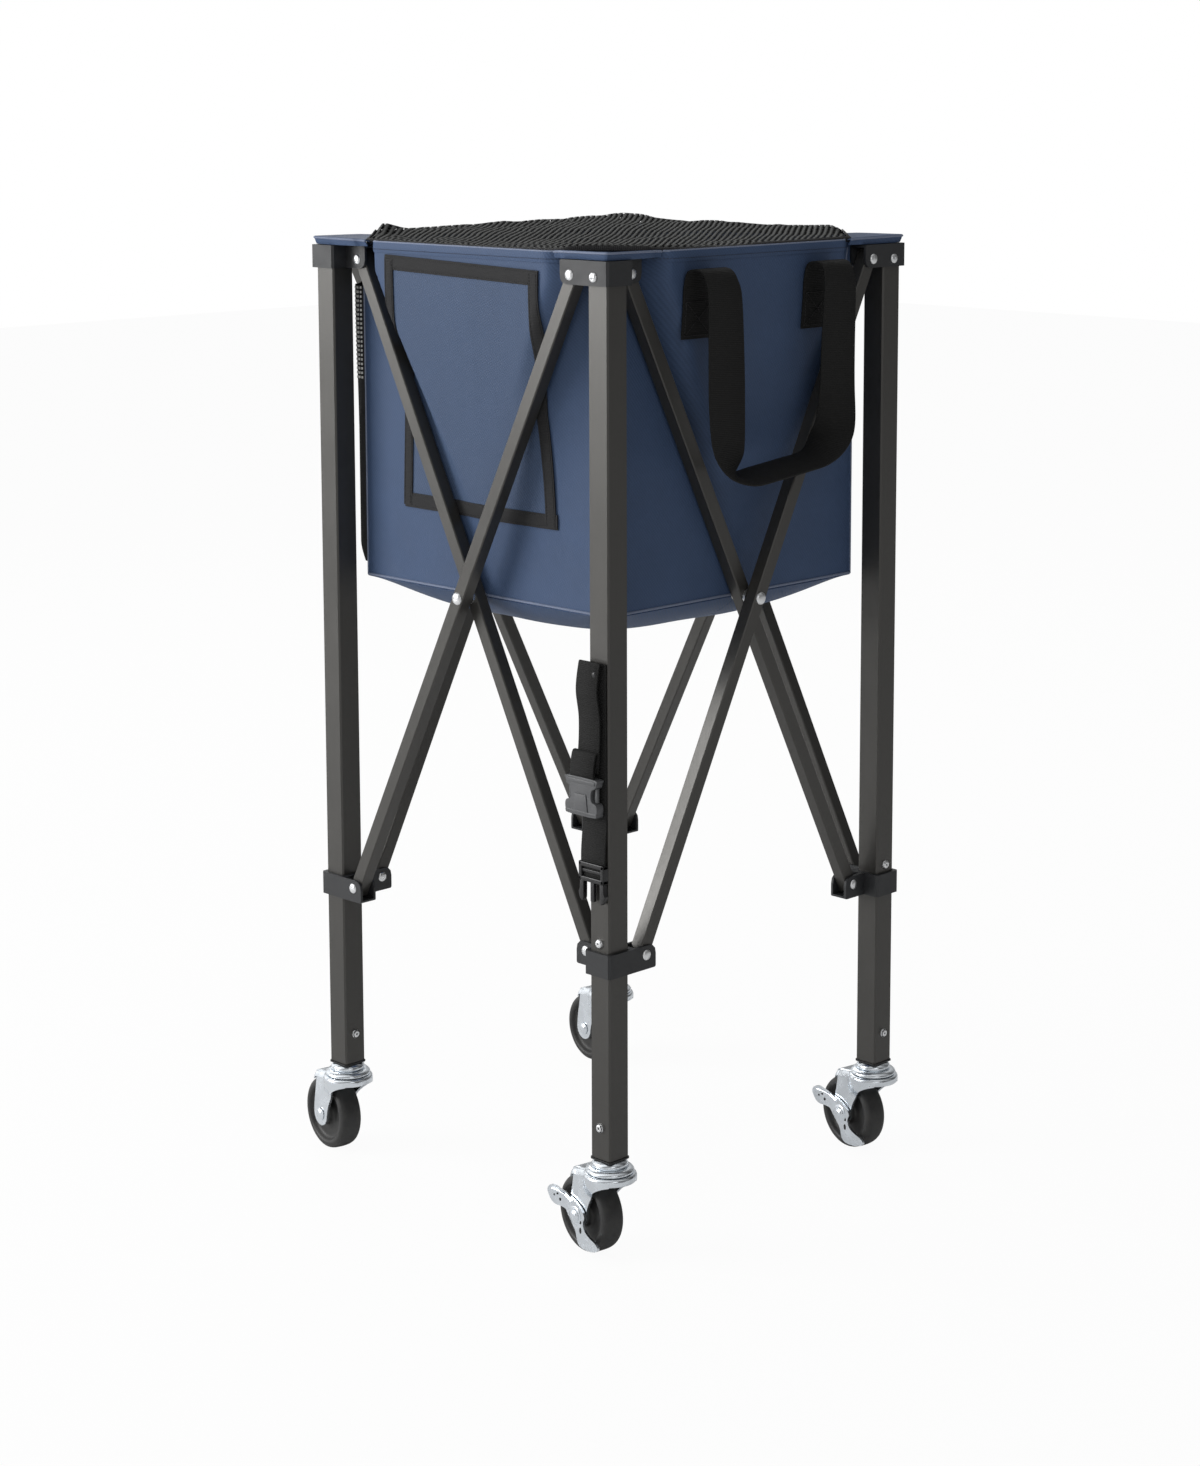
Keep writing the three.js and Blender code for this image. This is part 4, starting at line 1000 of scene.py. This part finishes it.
def foldLid(*pieces):
    for piece in pieces:
        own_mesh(piece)


# The zip band stands round the edge on one or two runs, and its coil runs along the band's middle
def zipBand(run, sign):
    centre = np.array(run)
    outward = np.gradient(centre, axis=0)
    outward = np.stack([outward[:, 1], -outward[:, 0]], axis=1)
    outward /= np.linalg.norm(outward, axis=1, keepdims=True)
    outward *= np.sign(np.sum(outward * centre, axis=1, keepdims=True))
    tops = [lidHeight(x * 0.984, y * 0.984) + 0.3 for x, y in run]

    def place(u, v):
        k = int(round(u))
        bulge = lid["band"] + 1.1 * bow(v) + 0.5 * lumps(k * 0.3, v * 2, sign)
        x, y = centre[k] + outward[k] * (bulge - 2.5 * v ** 3)
        return (x, y, mix(cart["bagRim"] - 1.5, tops[k], v))

    lengths = lengthsAlong(centre)
    ks = list(range(len(run)))
    band = clothOn(place, ks, shares(6), 1.0, lambda u, v: (v * 9, lengths[int(u)]))
    return band, tubeShape([place(k, 0.42) for k in ks], 0.9, 6)


def makeLidHalf(side, sign):
    edge = lid["half"] - (0 if sign < 0 else lid["tape"])
    low, high = (-edge, -lid["gap"] / 2) if sign < 0 else (lid["gap"] / 2, edge)
    vs = np.linspace(low, high, lid["cells"] // 2 + 8)
    us = np.concatenate([[-1, -0.99, -0.975], np.linspace(-0.95, 0.95, lid["cells"]), [0.975, 0.99, 1]])
    shape = clothOn(lambda u, y: (u * lidHalfAt(y), y, lidHeight(u * lidHalfAt(y), y)), us, vs, lid["cloth"])
    net = clothPiece("lidNet_" + side, [shape], "lid", 0, 70)
    left, right = ([(x * lidHalfAt(y), y) for y in vs] for x in (-1, 1))
    if sign > 0:
        runs = [left, right[::-1]]
    else:
        runs = [left[::-1] + [(x, low) for x in np.linspace(-lidHalfAt(low), lidHalfAt(low), 60)][1:-1] + right]
    bands, coils = zip(*(zipBand(run, sign) for run in runs))
    band = clothPiece("lidBand_" + side, bands + coils, "zip", 0)
    onBody(net, "lid_" + side, "lid_mesh", "lid_" + side)
    onBody(band, "lid_" + side, "black_webbing")
    foldLid(net, band)


def makeLidTape():
    start = lid["half"] - lid["tape"]
    half = lidHalfAt(lid["half"]) + 3

    def place(u, v):
        return (u, start + 0.3 + v * 9, mix(lidHeight(u, start - 2) - 0.2, cart["bagRim"] - 1, ease(v)))

    shape = clothOn(place, np.linspace(-half, half, 60), shares(6), 1.2, lambda u, v: (v * 10, u))
    tape = clothPiece("lidTape", [shape], "zip", 0)
    onBody(tape, "lid_tape", "black_webbing", "lid_tape")
    foldLid(tape)


makeLidHalf("front", -1)
makeLidHalf("back", 1)
makeLidTape()
print("lid stretched")


# Net pocket on the left wall, with a bound mouth and a gusset at its front end that carries a dotted cord
pocketLow, pocketHigh = boxOf("net_pocket")
pocket = dict(left=-pocketHigh.y, right=-pocketLow.y - 2, foot=pocketLow.z, top=pocketHigh.z - 1, swell=9,
              net=0.8, tape=2.0, standTop=13.5, standFoot=10.5, binding=9, dots=90)


def makePocket():
    seed, wide = wallSeed(3), pocket["binding"]
    left, right, foot, top = (pocket[key] for key in ("left", "right", "foot", "top"))
    low = cart["bagFoot"] + 13

    def place(s, z, out=0.0):
        rise = (z - foot) / (top - foot)
        run = clamp((s - left) / (right - left))
        swollen = pocket["swell"] * ease(rise) * bow(run) ** 0.7
        stand = mix(pocket["standFoot"], pocket["standTop"], ease(rise))
        stand *= ease((run - 0.5) / 0.47) * ease(rise * 7)
        x, y, height = wallPoint(s, z, seed)
        return (x, y - 1.4 - swollen - stand - out, height)

    def gusset(share, z):
        x, y, height = place(right, z, 0.6)
        wallX, wallY, height = wallPoint(right + 1.5, z, seed, 0.6)
        return (mix(x, wallX, share) + 1.2 * bow(share), mix(y, wallY, share), height)

    def lowGusset(share, z):                # below the net the gusset runs on down the corner as a folded tape
        wallX, wallY, height = wallPoint(right + 2.2, z, seed, 0.3)
        stand = pocket["standFoot"] * ease((z - low + 14) / 34)
        return (wallX + 0.8 * bow(share), wallY - stand * (1 - share) - 0.4, height)

    ss, zs = np.linspace(left, right, 50), np.linspace(foot, top, 50)
    net = clothPiece("pocketNet", [clothOn(place, ss, zs, pocket["net"])], "pocket", 3, 70)
    tape = pocket["tape"]
    edges = [clothOn(lambda s, z: place(s, z, 1.0), ss, np.linspace(*ends, 4), tape, lambda s, z: (z, s))
             for ends in ((top - wide, top + 1), (foot - 1, foot + (wide - 1)))]
    edges += [clothOn(lambda s, z: place(s, z, 1.1), np.linspace(*ends, 4), zs, tape)
              for ends in ((right - wide, right), (left, left + wide))]
    lowZs = np.linspace(low, foot + 34, 40)
    edges += [clothOn(gusset, shares(4), zs, 1.0, lambda share, z: (share * 12, z)),
              clothOn(lowGusset, shares(4), lowZs, 1.6, lambda share, z: (share * 12, z))]
    edge = clothPiece("pocketBinding", edges, "binding", 3)
    dotZs = np.linspace(top - pocket["dots"], top - 2, 30)
    rows = [([Vector(gusset(share, z)) + Vector((0.7, -0.2, 0)) for z in dotZs], (1, 0, 0))
            for share in (0.12, 0.42, 0.72)]
    dots = sewStitches("pocketDots", rows, "whiteThread", turned(3), 4.4, 2.2, 0.95)
    onBody(net, "leg_front_left", "black_webbing", "net_pocket")
    onBody(edge, "leg_front_left", "black_webbing")
    onBody(dots, "leg_front_left", "black_webbing")
    foldAlongWall([net, edge, dots], 3)


makePocket()
print("side pocket sewn")


# Handle: tabs sewn to the right wall arch out to a crest, and the loop swings from there.
# A station is how far out it is, how far apart the two sides are, its height, and turns in right angles: one for
# a tab, and one each for the near and the far side of the loop.
grip = dict(width=40, thick=2.2, spread=82, tabFoot=cart["legFoot"] + 750, drop=187, standOff=30, farRise=17,
            tilt=0.2)


def handleStations():
    wall = wallReach(grip["spread"], recessTop) + 0.3 + grip["thick"] / 2
    out = wall + grip["standOff"]
    foot = recessTop - grip["drop"]

    def up(share):
        return recessTop + (recessTop - grip["tabFoot"]) * share

    def down(share):
        return mix(recessTop, foot, share)

    tab = []
    for z in (grip["tabFoot"], mix(grip["tabFoot"], recessTop, 0.5), recessTop - 8):
        tab.append((wallReach(grip["spread"], z) + grip["thick"] / 2 + 0.5, 1, z, 1))
    tab += [(mix(wall, out, 0.1), 1, up(0.1), 1), (mix(wall, out, 0.24), 1, up(0.175), 1),
            (mix(wall, out, 0.5), 1, up(0.2), 1)]
    bottom = mix(out, wall, 0.15)
    loop = [
        (mix(wall, out, 0.5) + 0.3, 1, up(0.2), 1, 1),
        (mix(wall, out, 0.74), 0.995, up(0.16), 1, 1),
        (mix(wall, out, 0.9), 0.985, up(0.02), 0.97, 0.97),
        (out, 0.965, up(-0.3), 0.93, 0.93),
        (out, 0.94, down(0.4), 0.88, 0.88),
        (out, 0.93, down(0.62), 0.88, 0.84),
        (out, 0.9, down(0.82), 0.98, 0.66),
        (mix(out, wall, 0.1), 0.79, down(0.94), 1.35, 0.2),
        (bottom, 0.6, down(0.995), 1.85, -0.04),
        (bottom, 0.25, foot, 2, 0),
    ]
    return tab, loop


def stationOf(x, apart, z, turn, sign, rise=0.0):
    angle = turn * math.pi / 2
    risen = max(0.0, recessTop - z) / grip["drop"] * (1 + sign * apart) / 2
    across = (math.cos(angle), math.sin(angle), -math.cos(angle) * grip["tilt"])
    return (x, sign * apart * grip["spread"], z + risen * rise), across


def makeHandle():
    tab, loop = handleStations()
    size, rise = (grip["width"], grip["thick"], 8), grip["farRise"]
    tabs = [strapShape([stationOf(*row, sign) for row in tab], *size) for sign in (-1, 1)]
    tabPiece = clothPiece("handleTabs", tabs, "webbing", 0)
    both = [stationOf(x, apart, z, turn, -1, rise) for x, apart, z, turn, far in loop]
    both += [stationOf(x, apart, z, turn + 2, 1, rise) for x, apart, z, near, turn in reversed(loop)]
    loopPiece = clothPiece("handleLoop", [strapShape(both, *size)], "webbing", 0)
    # Each tab is sewn round its foot and crosswise
    runs = []
    half = grip["width"] / 2 - 3
    low, high = grip["tabFoot"] + 3, grip["tabFoot"] + 34
    for centre in (-grip["spread"], grip["spread"]):
        left, right = centre - half, centre + half
        corners = [(left, low), (right, low), (right, high), (left, high), (left, low), (right, high),
                   (left, high), (right, low)]
        path = [Vector((wallReach(grip["spread"], z) + grip["thick"] + 0.75, y, z)) for y, z in corners]
        runs.append((path, (1, 0, 0)))
    stitches = sewStitches("handleStitches", runs, "blackThread", turned(0), 3.0, 2.2, 0.4)
    onBody(tabPiece, "leg_back_right", "black_webbing")
    onBody(stitches, "leg_back_right", "black_webbing")
    onBody(loopPiece, "handle", "black_webbing", "handle")
    foldAlongWall([tabPiece, stitches, loopPiece], 1)


makeHandle()
print("handle looped")


# Heads for the fasteners, made once from these profiles and set by Geometry Nodes
headProfiles = dict(
    rivet=[(0, 1.9), (2, 1.8), (3.7, 1.4), (4.8, 0.7), (5.1, 0.1), (5.1, -0.3), (0, -0.3)],
    screw=[(0, 0.5), (0.9, 0.5), (1.2, 1.5), (1.5, 2.0), (2.8, 1.9), (4.1, 1.3), (4.7, 0.5), (4.7, -0.3),
           (0, -0.3)],
    tack=[(0, 1.6), (1.6, 1.5), (2.8, 0.9), (3.2, 0.1), (3.2, -0.3), (0, -0.3)],
    small=[(0, 1.5), (0.8, 1.6), (1.1, 2.6), (1.6, 2.75), (3.0, 2.5), (4.1, 1.7), (4.5, 0.7), (4.5, -0.2),
           (0, -0.2)],
    cross=[(0, 2.4), (2.4, 2.25), (4.5, 1.7), (5.9, 0.7), (6.2, 0.0), (6.2, -0.3), (0, -0.3)],
)
heads = {}
for name, profile in headProfiles.items():
    heads[name] = addPiece(name + "Head", [turnedShape(profile, 28)], paints["rivet"])


# Sets a head at each spot, a pair of point and facing
def setHeads(name, spots, head, body, place, finish="rivet"):
    points, facings = zip(*spots)
    inputs = {"Head": heads[head], "Finish": paints[finish]}
    onBody(growPiece(name, "heads", points, facings, [], inputs, place), body, "rivet_aluminium")


# Leg strap with its two buckle halves, on the front right leg's front face
strap = dict(width=31, runWidth=27, keeperWidth=30, cloth=1.7, top=466, lean=6, swing=5.5, screw=456,
             socketFoot=325, socketLength=36, socketThick=9, prongFoot=243, prongLength=38, prongThick=7)


def makeStrap():
    foot, place = cart["legFoot"], turned(0)
    face = -cart["legAxis"] - cart["legHalf"] - 0.3
    middle = cart["legAxis"] - strap["lean"]
    rear, front = face - strap["cloth"] / 2, face - strap["cloth"] * 1.5 - 0.4
    socketTop = foot + strap["socketFoot"] + strap["socketLength"]
    prongTop = foot + strap["prongFoot"] + strap["prongLength"]
    socketY = face - strap["cloth"] - 0.6 - strap["socketThick"] / 2
    prongY = face - strap["prongThick"] / 2
    top = foot + strap["top"]
    half = mix(top, socketTop, 0.5)
    # Points of the rear run, of the front run that hangs off the leg, and of the keeper round the socket's bar
    back = [(1, rear, top - 1), (1, rear, half), (1.5, rear, socketTop - 40), (1.4, rear - 0.6, prongTop + 26),
            (2, prongY, prongTop + 8), (2, prongY, prongTop - 15)]
    run = [(0.5, rear - 0.8, top - 1.6), (0, front - 1.2, top - 0.4), (-0.6, front - 2.6, top - 3),
           (-1, front - strap["swing"], top - 26), (0.5, socketY + 0.5, half),
           (-1, socketY + 0.6, socketTop + 20), (-6, socketY, socketTop + 2), (-6, socketY, socketTop - 8)]
    keeper = [(x, socketY + y, socketTop + z) for x, y, z in (
        (-5.4, -1.2, -3), (-5, -4.2, 4), (-3, -3.6, 20), (-2.6, -1.2, 23), (-2.6, 1.4, 20), (-4.6, 1.6, 4))]
    shapes = []
    for points, width in ((back, strap["width"]), (run, strap["runWidth"]), (keeper, strap["keeperWidth"])):
        stations = [((middle + x, y, z), (1, 0, 0)) for x, y, z in points]
        shapes.append(strapShape(stations, width, strap["cloth"]))
    onBody(clothPiece("legStrap", shapes, "webbing", 0), "leg_front_right", "black_webbing", "leg_strap")
    spot = (middle + 8, front - strap["cloth"] / 2 - 3.4, foot + strap["screw"])
    setHeads("strapScrew", [(spot, (0, -1, 0))], "tack", "leg_front_right", place, "prong")
    for part, shapes, x, y in (("socket", socketShapes(), -6, socketY), ("prong", prongShapes(), 2, prongY)):
        shapes = [moved(shape, shift(middle + x, y, foot + strap[part + "Foot"])) for shape in shapes]
        piece = addPiece("buckle" + part.capitalize(), shapes, paints[part], place)
        onBody(piece, "leg_front_right", "buckle_plastic", "buckle_" + part)


# Socket: a flat case that narrows at its windows and flares to a mouth, with a strap bar on top
def socketShapes():
    deep = strap["socketThick"] / 2
    left = [(-16.5, 0), (-19.5, 2.5), (-20.5, 8), (-19, 12), (-13.6, 14.5), (-12.6, 20), (-14, 25),
            (-18.2, 27.5), (-19.4, 31), (-18, 35)]
    case = smoothRun(left + [(-x, z) for x, z in reversed(left)], 4, True)
    parts = [
        plateShape(case.tolist(), -deep, deep, 1.5, 3),
        plateShape([(-9, 4), (9, 4), (7, 20), (-7, 20)], -deep - 0.9, -deep + 0.2, 0.5),
        blockShape((-20, -deep - 0.4, 1.5), (20, deep + 0.4, 4.2), 0.9),
        blockShape((-18, -deep - 0.7, 29.5), (18, -deep + 1.5, 33.5), 0.9),
    ]
    return parts + [blockShape((x - 1.7, -1.6, 13.5), (x + 1.7, 1.6, 27), 0.8) for x in (-16.5, 16.5)]


# Prong: an adjuster frame on top, three prongs below with hooked sides
def prongShapes():
    deep = strap["prongThick"] / 2
    top = strap["prongLength"]
    sides = [(-16, 20, 16, 24.5), (-16, top - 4.5, 16, top), (-16, 20, -12, top), (12, 20, 16, top)]
    parts = [blockShape((left, -deep, low), (right, deep, high), 1.1, 3) for left, low, right, high in sides]
    parts.append(blockShape((-13, -deep * 0.7, 28.5), (13, deep * 0.5, 31.5), 0.9))
    parts.append(blockShape((-2.4, -deep * 0.5, 1.5), (2.4, deep * 0.5, 21), 0.9))
    hook = [(10.2, 21), (15, 21), (15.4, 12), (17, 9), (15.4, 3.5), (12, 0.5), (10.4, 4)]
    for outline in ([(-x, z) for x, z in reversed(hook)], hook):
        parts.append(plateShape(outline, -deep * 0.75, deep * 0.75, 0.8))
    return parts


makeStrap()
print("strap and buckle hung")


# Fasteners, in the frame of the front right leg: pivot rivets, bracket screws and leg screws
collar = dict(half=16.35, clevis=19.4, setBack=1.0, screwDrop=14.5, stopScrew=205, lowScrew=30)


def makeFasteners(quarter):
    leg, face = legNames[quarter], faceNames[quarter]
    axis, seat, clevis = cart["legAxis"], cart["legHalf"], collar["clevis"]
    flush, near, back = axis + collar["half"], axis - pivotReach, collar["setBack"]
    toFront, toBack, toRight, toLeft = (0, -1, 0), (0, 1, 0), (1, 0, 0), (-1, 0, 0)
    stopZ, lowZ = cart["legFoot"] + collar["stopScrew"], cart["legFoot"] + collar["lowScrew"]
    for name, head, body, spots in (
        ("pivotRivets_top_" + leg, "rivet", "leg_" + leg, [
            ((near, -flush, topPivot), toFront),
            ((near, -flush + clevis, topPivot), toBack),
            ((axis - back, -near, topPivot), toRight)]),
        ("bracketScrew_" + leg, "screw", "leg_" + leg, [
            ((axis - 1.6, -flush, cart["bracketTop"] - collar["screwDrop"]), toFront)]),
        ("pivotRivets_low_" + leg, "rivet", "slider_" + leg, [
            ((flush, -near, lowPivot), toRight),
            ((flush - clevis, -near, lowPivot), toLeft),
            ((near, -axis + back, lowPivot), toFront),
            ((near, -axis + back + clevis, lowPivot), toBack)]),
        ("legScrews_" + leg, "small", "leg_" + leg, [
            ((axis, -axis - seat, stopZ), toFront),
            ((axis, -axis - seat, lowZ), toFront),
            ((axis, -axis + seat, lowZ), toBack)]),
        ("crossHeads_" + face, "cross", "outer_bar_" + face, [
            ((0, rivetLow.y + 1.6, cart["crossHeight"]), toFront)]),
    ):
        setHeads(name, spots, head, body, turned(quarter))


for quarter in range(4):
    makeFasteners(quarter)
for head in heads.values():
    bpy.data.objects.remove(head)
print("fasteners set")


# Casters about the swivel axis, with z = 0 at the leg's foot and the wheel trailing to -X
caster = dict(yaw=-8, trail=29, drop=cart["legFoot"] - cart["axleHeight"], wheel=cart["axleHeight"], wheelHalf=12,
              inside=13.5, plate=2.5, foot=12, crown=25, crownTop=-14.3, crownFoot=-22.0, skirtEnd=-19.2)
caster["outside"] = caster["inside"] + caster["plate"]


def headShapes():
    dome = smoothRun([(0, -2.1), (11.5, -2.1), (14.2, -2.7), (16.2, -4.4), (16.9, -6.6), (16.2, -8.6)], 4)
    disc = smoothRun([(15.4, -8.9), (18.2, -8.9), (20.6, -9.8), (22.2, -11.4), (22.6, -12.8), (22.3, -13.5)], 4)
    under = [(21.0, -13.6), (19.3, -12.0), (4, -11.2)]
    pin = [(4, -17.0), (8, -17.1), (6.4, -19.6), (0, -19.6)]
    stem = turnedShape([(0, 22), (4, 22), (5, 21), (5, -2.3), (0, -2.3)], 24)
    return [turnedShape([*dome.tolist(), *disc.tolist(), *under, *pin], 64), stem]


# The side plates' front edge, from the foot at the axle up to the crown's round skirt
forkFrontRun = smoothRun([(-62.5, -17.0), (-52, -14.2), (-42, -9.0), (-32.6, -0.4), (-26.6, 8.6), (-23.6, 14.6),
                          (-22.0, 19.4), (-17.0, 20.6)], 8)


def forkFront(z):
    return float(np.interp(z, forkFrontRun[:, 0], forkFrontRun[:, 1]))


# How far out the plates stand: flat below, and round under the crown
def forkReach(x, z):
    skirt = math.sqrt(max(caster["crown"] ** 2 - x * x, 0)) if x > caster["skirtEnd"] else caster["outside"]
    return mix(caster["outside"], skirt, ease((z + 44) / 23))


def sideShape(sign):
    drop, foot, trail = caster["drop"], caster["foot"], caster["trail"]
    low, high = -drop - foot, -17.5
    heights = [low + 0.02] + [low + foot * (1 - math.cos(math.pi / 2 * share)) for share in shares(8)[1:]]
    heights += list(np.linspace(-drop, high, 30)[1:])

    def ends(z):
        if z <= -drop:
            half = math.sqrt(max(foot ** 2 - (z + drop) ** 2, 0.2))
            return -trail - half, -trail + half
        return mix(-41.0, -35.5, ease((z + 62.5) / 44)), forkFront(z)

    def place(u, z):
        x = mix(*ends(z), u)
        return (x, sign * -forkReach(x, z), z)

    us = shares(22) if sign > 0 else shares(22)[::-1]
    return clothOn(place, us, heights, caster["plate"])


def crownShape():
    top, foot, radius = caster["crownTop"], caster["crownFoot"], caster["crown"]
    arc = [(radius - 3.4 + 3.4 * math.sin(a), top - 3.4 + 3.4 * math.cos(a))
           for a in np.linspace(0, math.pi / 2, 7)]
    lip = [(radius, foot + 0.9), (radius - 0.5, foot + 0.2), (radius - 1.4, foot), (radius - 2.3, foot + 0.4),
           (radius - 2.5, foot + 1.5), (radius - 2.7, top - 3.6), (radius - 4.2, top - 2.5), (4.4, top - 2.5)]
    return turnedShape([(4.4, top), (radius - 6, top)] + arc + lip, 64)


# Rear top plate: flat on top, rounded over both side plates and folded down behind
def bridgeShape():
    crownTop = caster["crownTop"]

    def place(u, v):
        top = mix(crownTop - 0.2, crownTop - 4.6, ease(v * 1.05))
        drop = 3.5 * max(0, (v - 0.86) / 0.14) ** 2
        edge = max(0, (abs(u) - 0.78) / 0.22)
        rounded = 5.0 * (1 - math.sqrt(max(0, 1 - edge ** 2)))
        return (mix(-4, -37.2, v), -u * caster["outside"], top - drop - rounded)

    return clothOn(place, spread(28), shares(20), 2.2)


# A profile of (radius, reach) turned about the axle
def axleTurned(profile, steps):
    return moved(turnedShape(profile, steps), Matrix.Rotation(math.pi / 2, 4, "X"))


def wheelShapes():
    radius, half = caster["wheel"], caster["wheelHalf"]
    side = smoothRun([
        (4.4, 13.1), (9.4, 13.1), (10.8, 12.7), (11.6, 11.2), (12.4, 8.4), (14.4, 7.3), (19.5, 6.9), (24.2, 7.1),
        (26.6, 8.3), (28.2, 10.6), (29.6, half - 0.2), (31.6, half + 0.1), (33.6, half - 0.5), (35.6, half - 2.0),
        (radius - 0.5, half - 4.6), (radius - 0.1, half - 7.6), (radius, half - 10.5)], 3).tolist()
    return [axleTurned(side + [(r, -y) for r, y in reversed(side)], 72)]


# Riveted head on both ends of the axle, out from the fork or from the lever's blade
axleHead = [(0, 2.6), (2.2, 2.5), (4.2, 2.0), (5.2, 1.1), (5.5, 0.9), (6.6, 0.8), (6.8, 0.2), (6.8, 0), (3.8, 0)]


def axleShapes(braked):
    def head(reach):
        return [(r, reach + y) for r, y in axleHead]

    far = caster["outside"] + 0.3
    near = far + (lever["axleRoom"] if braked else 0)
    return [axleTurned(head(near) + [(r, -y) for r, y in reversed(head(far))], 36)]


# Brake lever: a spoon pedal to the rear and above, a blade past the axle, and a foot with its toe to the front
lever = dict(reach=40, seat=-17.0, plate=2.3, bevel=0.55, cell=2.5, bend=15, tilt=0.24, axleRoom=3.5)
leverFace = lever["seat"] - lever["plate"]
# The blade's outline, rearwards and up, as shares of the reach
leverOutline = [
    (0.86, 0.24), (0.9, 0.38), (0.84, 0.51), (0.70, 0.55), (0.54, 0.49), (0.32, 0.42), (0.04, 0.36), (-0.24, 0.22),
    (-0.36, 0.06), (-0.31, -0.08), (-0.33, -0.2), (-0.42, -0.3), (-0.6, -0.36), (-0.84, -0.4), (-0.97, -0.48),
    (-0.9, -0.58), (-0.6, -0.68), (-0.28, -0.71), (-0.1, -0.62), (-0.02, -0.38), (0.12, -0.22), (0.28, -0.05),
    (0.36, 0.04), (0.5, 0.08), (0.66, 0.09), (0.79, 0.14),
]
# Holes and slots: middle, and half their width and height
leverCuts = [(8.5, -4, 1.7, 1.7), (8.5, -12, 1.7, 3.0), (-24, 14.5, 1.1, 1.1), (-28, 12.5, 1.0, 1.0),
             (-21, 9.5, 1.2, 1.6)]


def leverBend(point):
    x, y, z = point
    past = max(0.0, -x - lever["bend"])
    spoon = max(0.0, -x - 27) / 14
    toe = max(0.0, x - 16)
    y -= lever["tilt"] * past ** 1.05
    y += 1.6 * spoon * abs(z - 18) / 7
    y -= 0.12 * toe
    return Vector((x, y, z))


def leverShapes():
    outline = smoothRun([(-rear * lever["reach"], up * lever["reach"]) for rear, up in leverOutline], 4, True)
    washer = moved(turnedShape([(4.2, 0), (8.6, 0), (9, 0.3), (9, 3.4), (8.6, 3.7), (4.2, 3.7)], 36),
                   shift(0, leverFace - 0.6) @ Matrix.Rotation(-math.pi / 2, 4, "X"))
    ridge = ((-30, 18.5), (-22, 17.6), (-13, 15), (-5, 12))
    crest = [leverBend(Vector((x, leverFace - 0.1, z))) for x, z in ridge]
    points, faces, maps = tubeShape(smoothRun(crest, 8), 1.2)
    blade = gridPlate(outline.tolist(), leverFace, lever["seat"], leverBend, lever["cell"])
    return [blade, washer, (points, faces, None)]


# Holes and slots as painted shadow: dark discs laid just over the blade's outer face, which is not cut through
def leverHoles():
    parts = []
    turns = np.linspace(0, 2 * math.pi, 17)[:-1]
    for x, z, wide, tall in leverCuts:
        outline = [(x + wide * math.cos(a), z + tall * math.sin(a)) for a in turns]
        parts.append(plateShape(outline, leverFace - 0.12, leverFace + 0.3, 0.05, 1, leverBend))
    return parts


# A plate cut into cells, so that it can be bent smoothly
def gridPlate(outline, low, high, bend, cell):
    mesh = bmesh.new()
    mesh.faces.new([mesh.verts.new((x, low, z)) for x, z in outline])
    xs = [x for x, z in outline]
    for cut in np.arange(min(xs) + 2, max(xs), cell):
        geometry = list(mesh.verts) + list(mesh.edges) + list(mesh.faces)
        bmesh.ops.bisect_plane(mesh, geom=geometry, plane_co=(cut, 0, 0), plane_no=(1, 0, 0))
    bmesh.ops.triangulate(mesh, faces=list(mesh.faces))
    made = bmesh.ops.extrude_face_region(mesh, geom=list(mesh.faces))
    for item in made["geom"]:
        if isinstance(item, bmesh.types.BMVert):
            item.co.y = high
    bmesh.ops.recalc_face_normals(mesh, faces=list(mesh.faces))
    bevelledEdges(mesh, lever["bevel"], 2)
    for vert in mesh.verts:
        vert.co = bend(vert.co)
    return shapeFrom(mesh)


def makeCaster(quarter):
    leg, axis = legNames[quarter], cart["legAxis"]
    corner = Matrix.Rotation(quarter * math.pi / 2, 4, "Z") @ Vector((axis, -axis, cart["legFoot"]))
    swivel = shift(corner.x + cart["middle"], corner.y, corner.z)
    swivel = swivel @ Matrix.Rotation(math.radians(caster["yaw"]), 4, "Z")
    axle = swivel @ shift(-caster["trail"], 0, -caster["drop"])
    braked = leg in brakedLegs

    def fit(name, shapes, place, angle, body, node, finish="zinc", slot="plated_steel"):
        piece = addPiece(name + "_" + leg, shapes, paints[finish], place, angle)
        onBody(piece, body + "_" + leg, slot, *([node + "_" + leg] if node else []))

    forkParts = [crownShape(), bridgeShape(), sideShape(1), sideShape(-1)]
    fit("casterHead", headShapes(), swivel, 30, "leg", "caster_head")
    fit("casterFork", [(points, faces, None) for points, faces, maps in forkParts], swivel, 42, "caster_fork",
        "caster_fork")
    fit("casterWheel", wheelShapes(), axle, 50, "caster_wheel", "caster_wheel", "rubber", "wheel_rubber")
    fit("casterAxle", axleShapes(braked), axle, 40, "caster_fork", "caster_axle")
    if braked:
        fit("brakeLever", leverShapes(), axle, 42, "brake_lever", "brake_lever")
        fit("leverHoles", leverHoles(), axle, 42, "brake_lever", None, "hole")


for quarter in range(4):
    makeCaster(quarter)
print("casters fitted")


# The frame's own nodes keep their shape and take the finishes made here, by the first word of their names
nodePaints = dict(leg=("frame", "frame_paint"), outer=("frame", "frame_paint"), inner=("frame", "frame_paint"),
                  top=("bracket", "bracket_plastic"), slider=("bracket", "bracket_plastic"),
                  end=("plug", "plug_plastic"), cross=("rivet", "rivet_aluminium"))
for name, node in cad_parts.items():
    first = name.split("_")[0]
    if first in nodePaints and not node.hide_render:
        paintName, slotName = nodePaints[first]
        node.data.materials.clear()
        node.data.materials.append(paints[paintName])
print("frame painted")
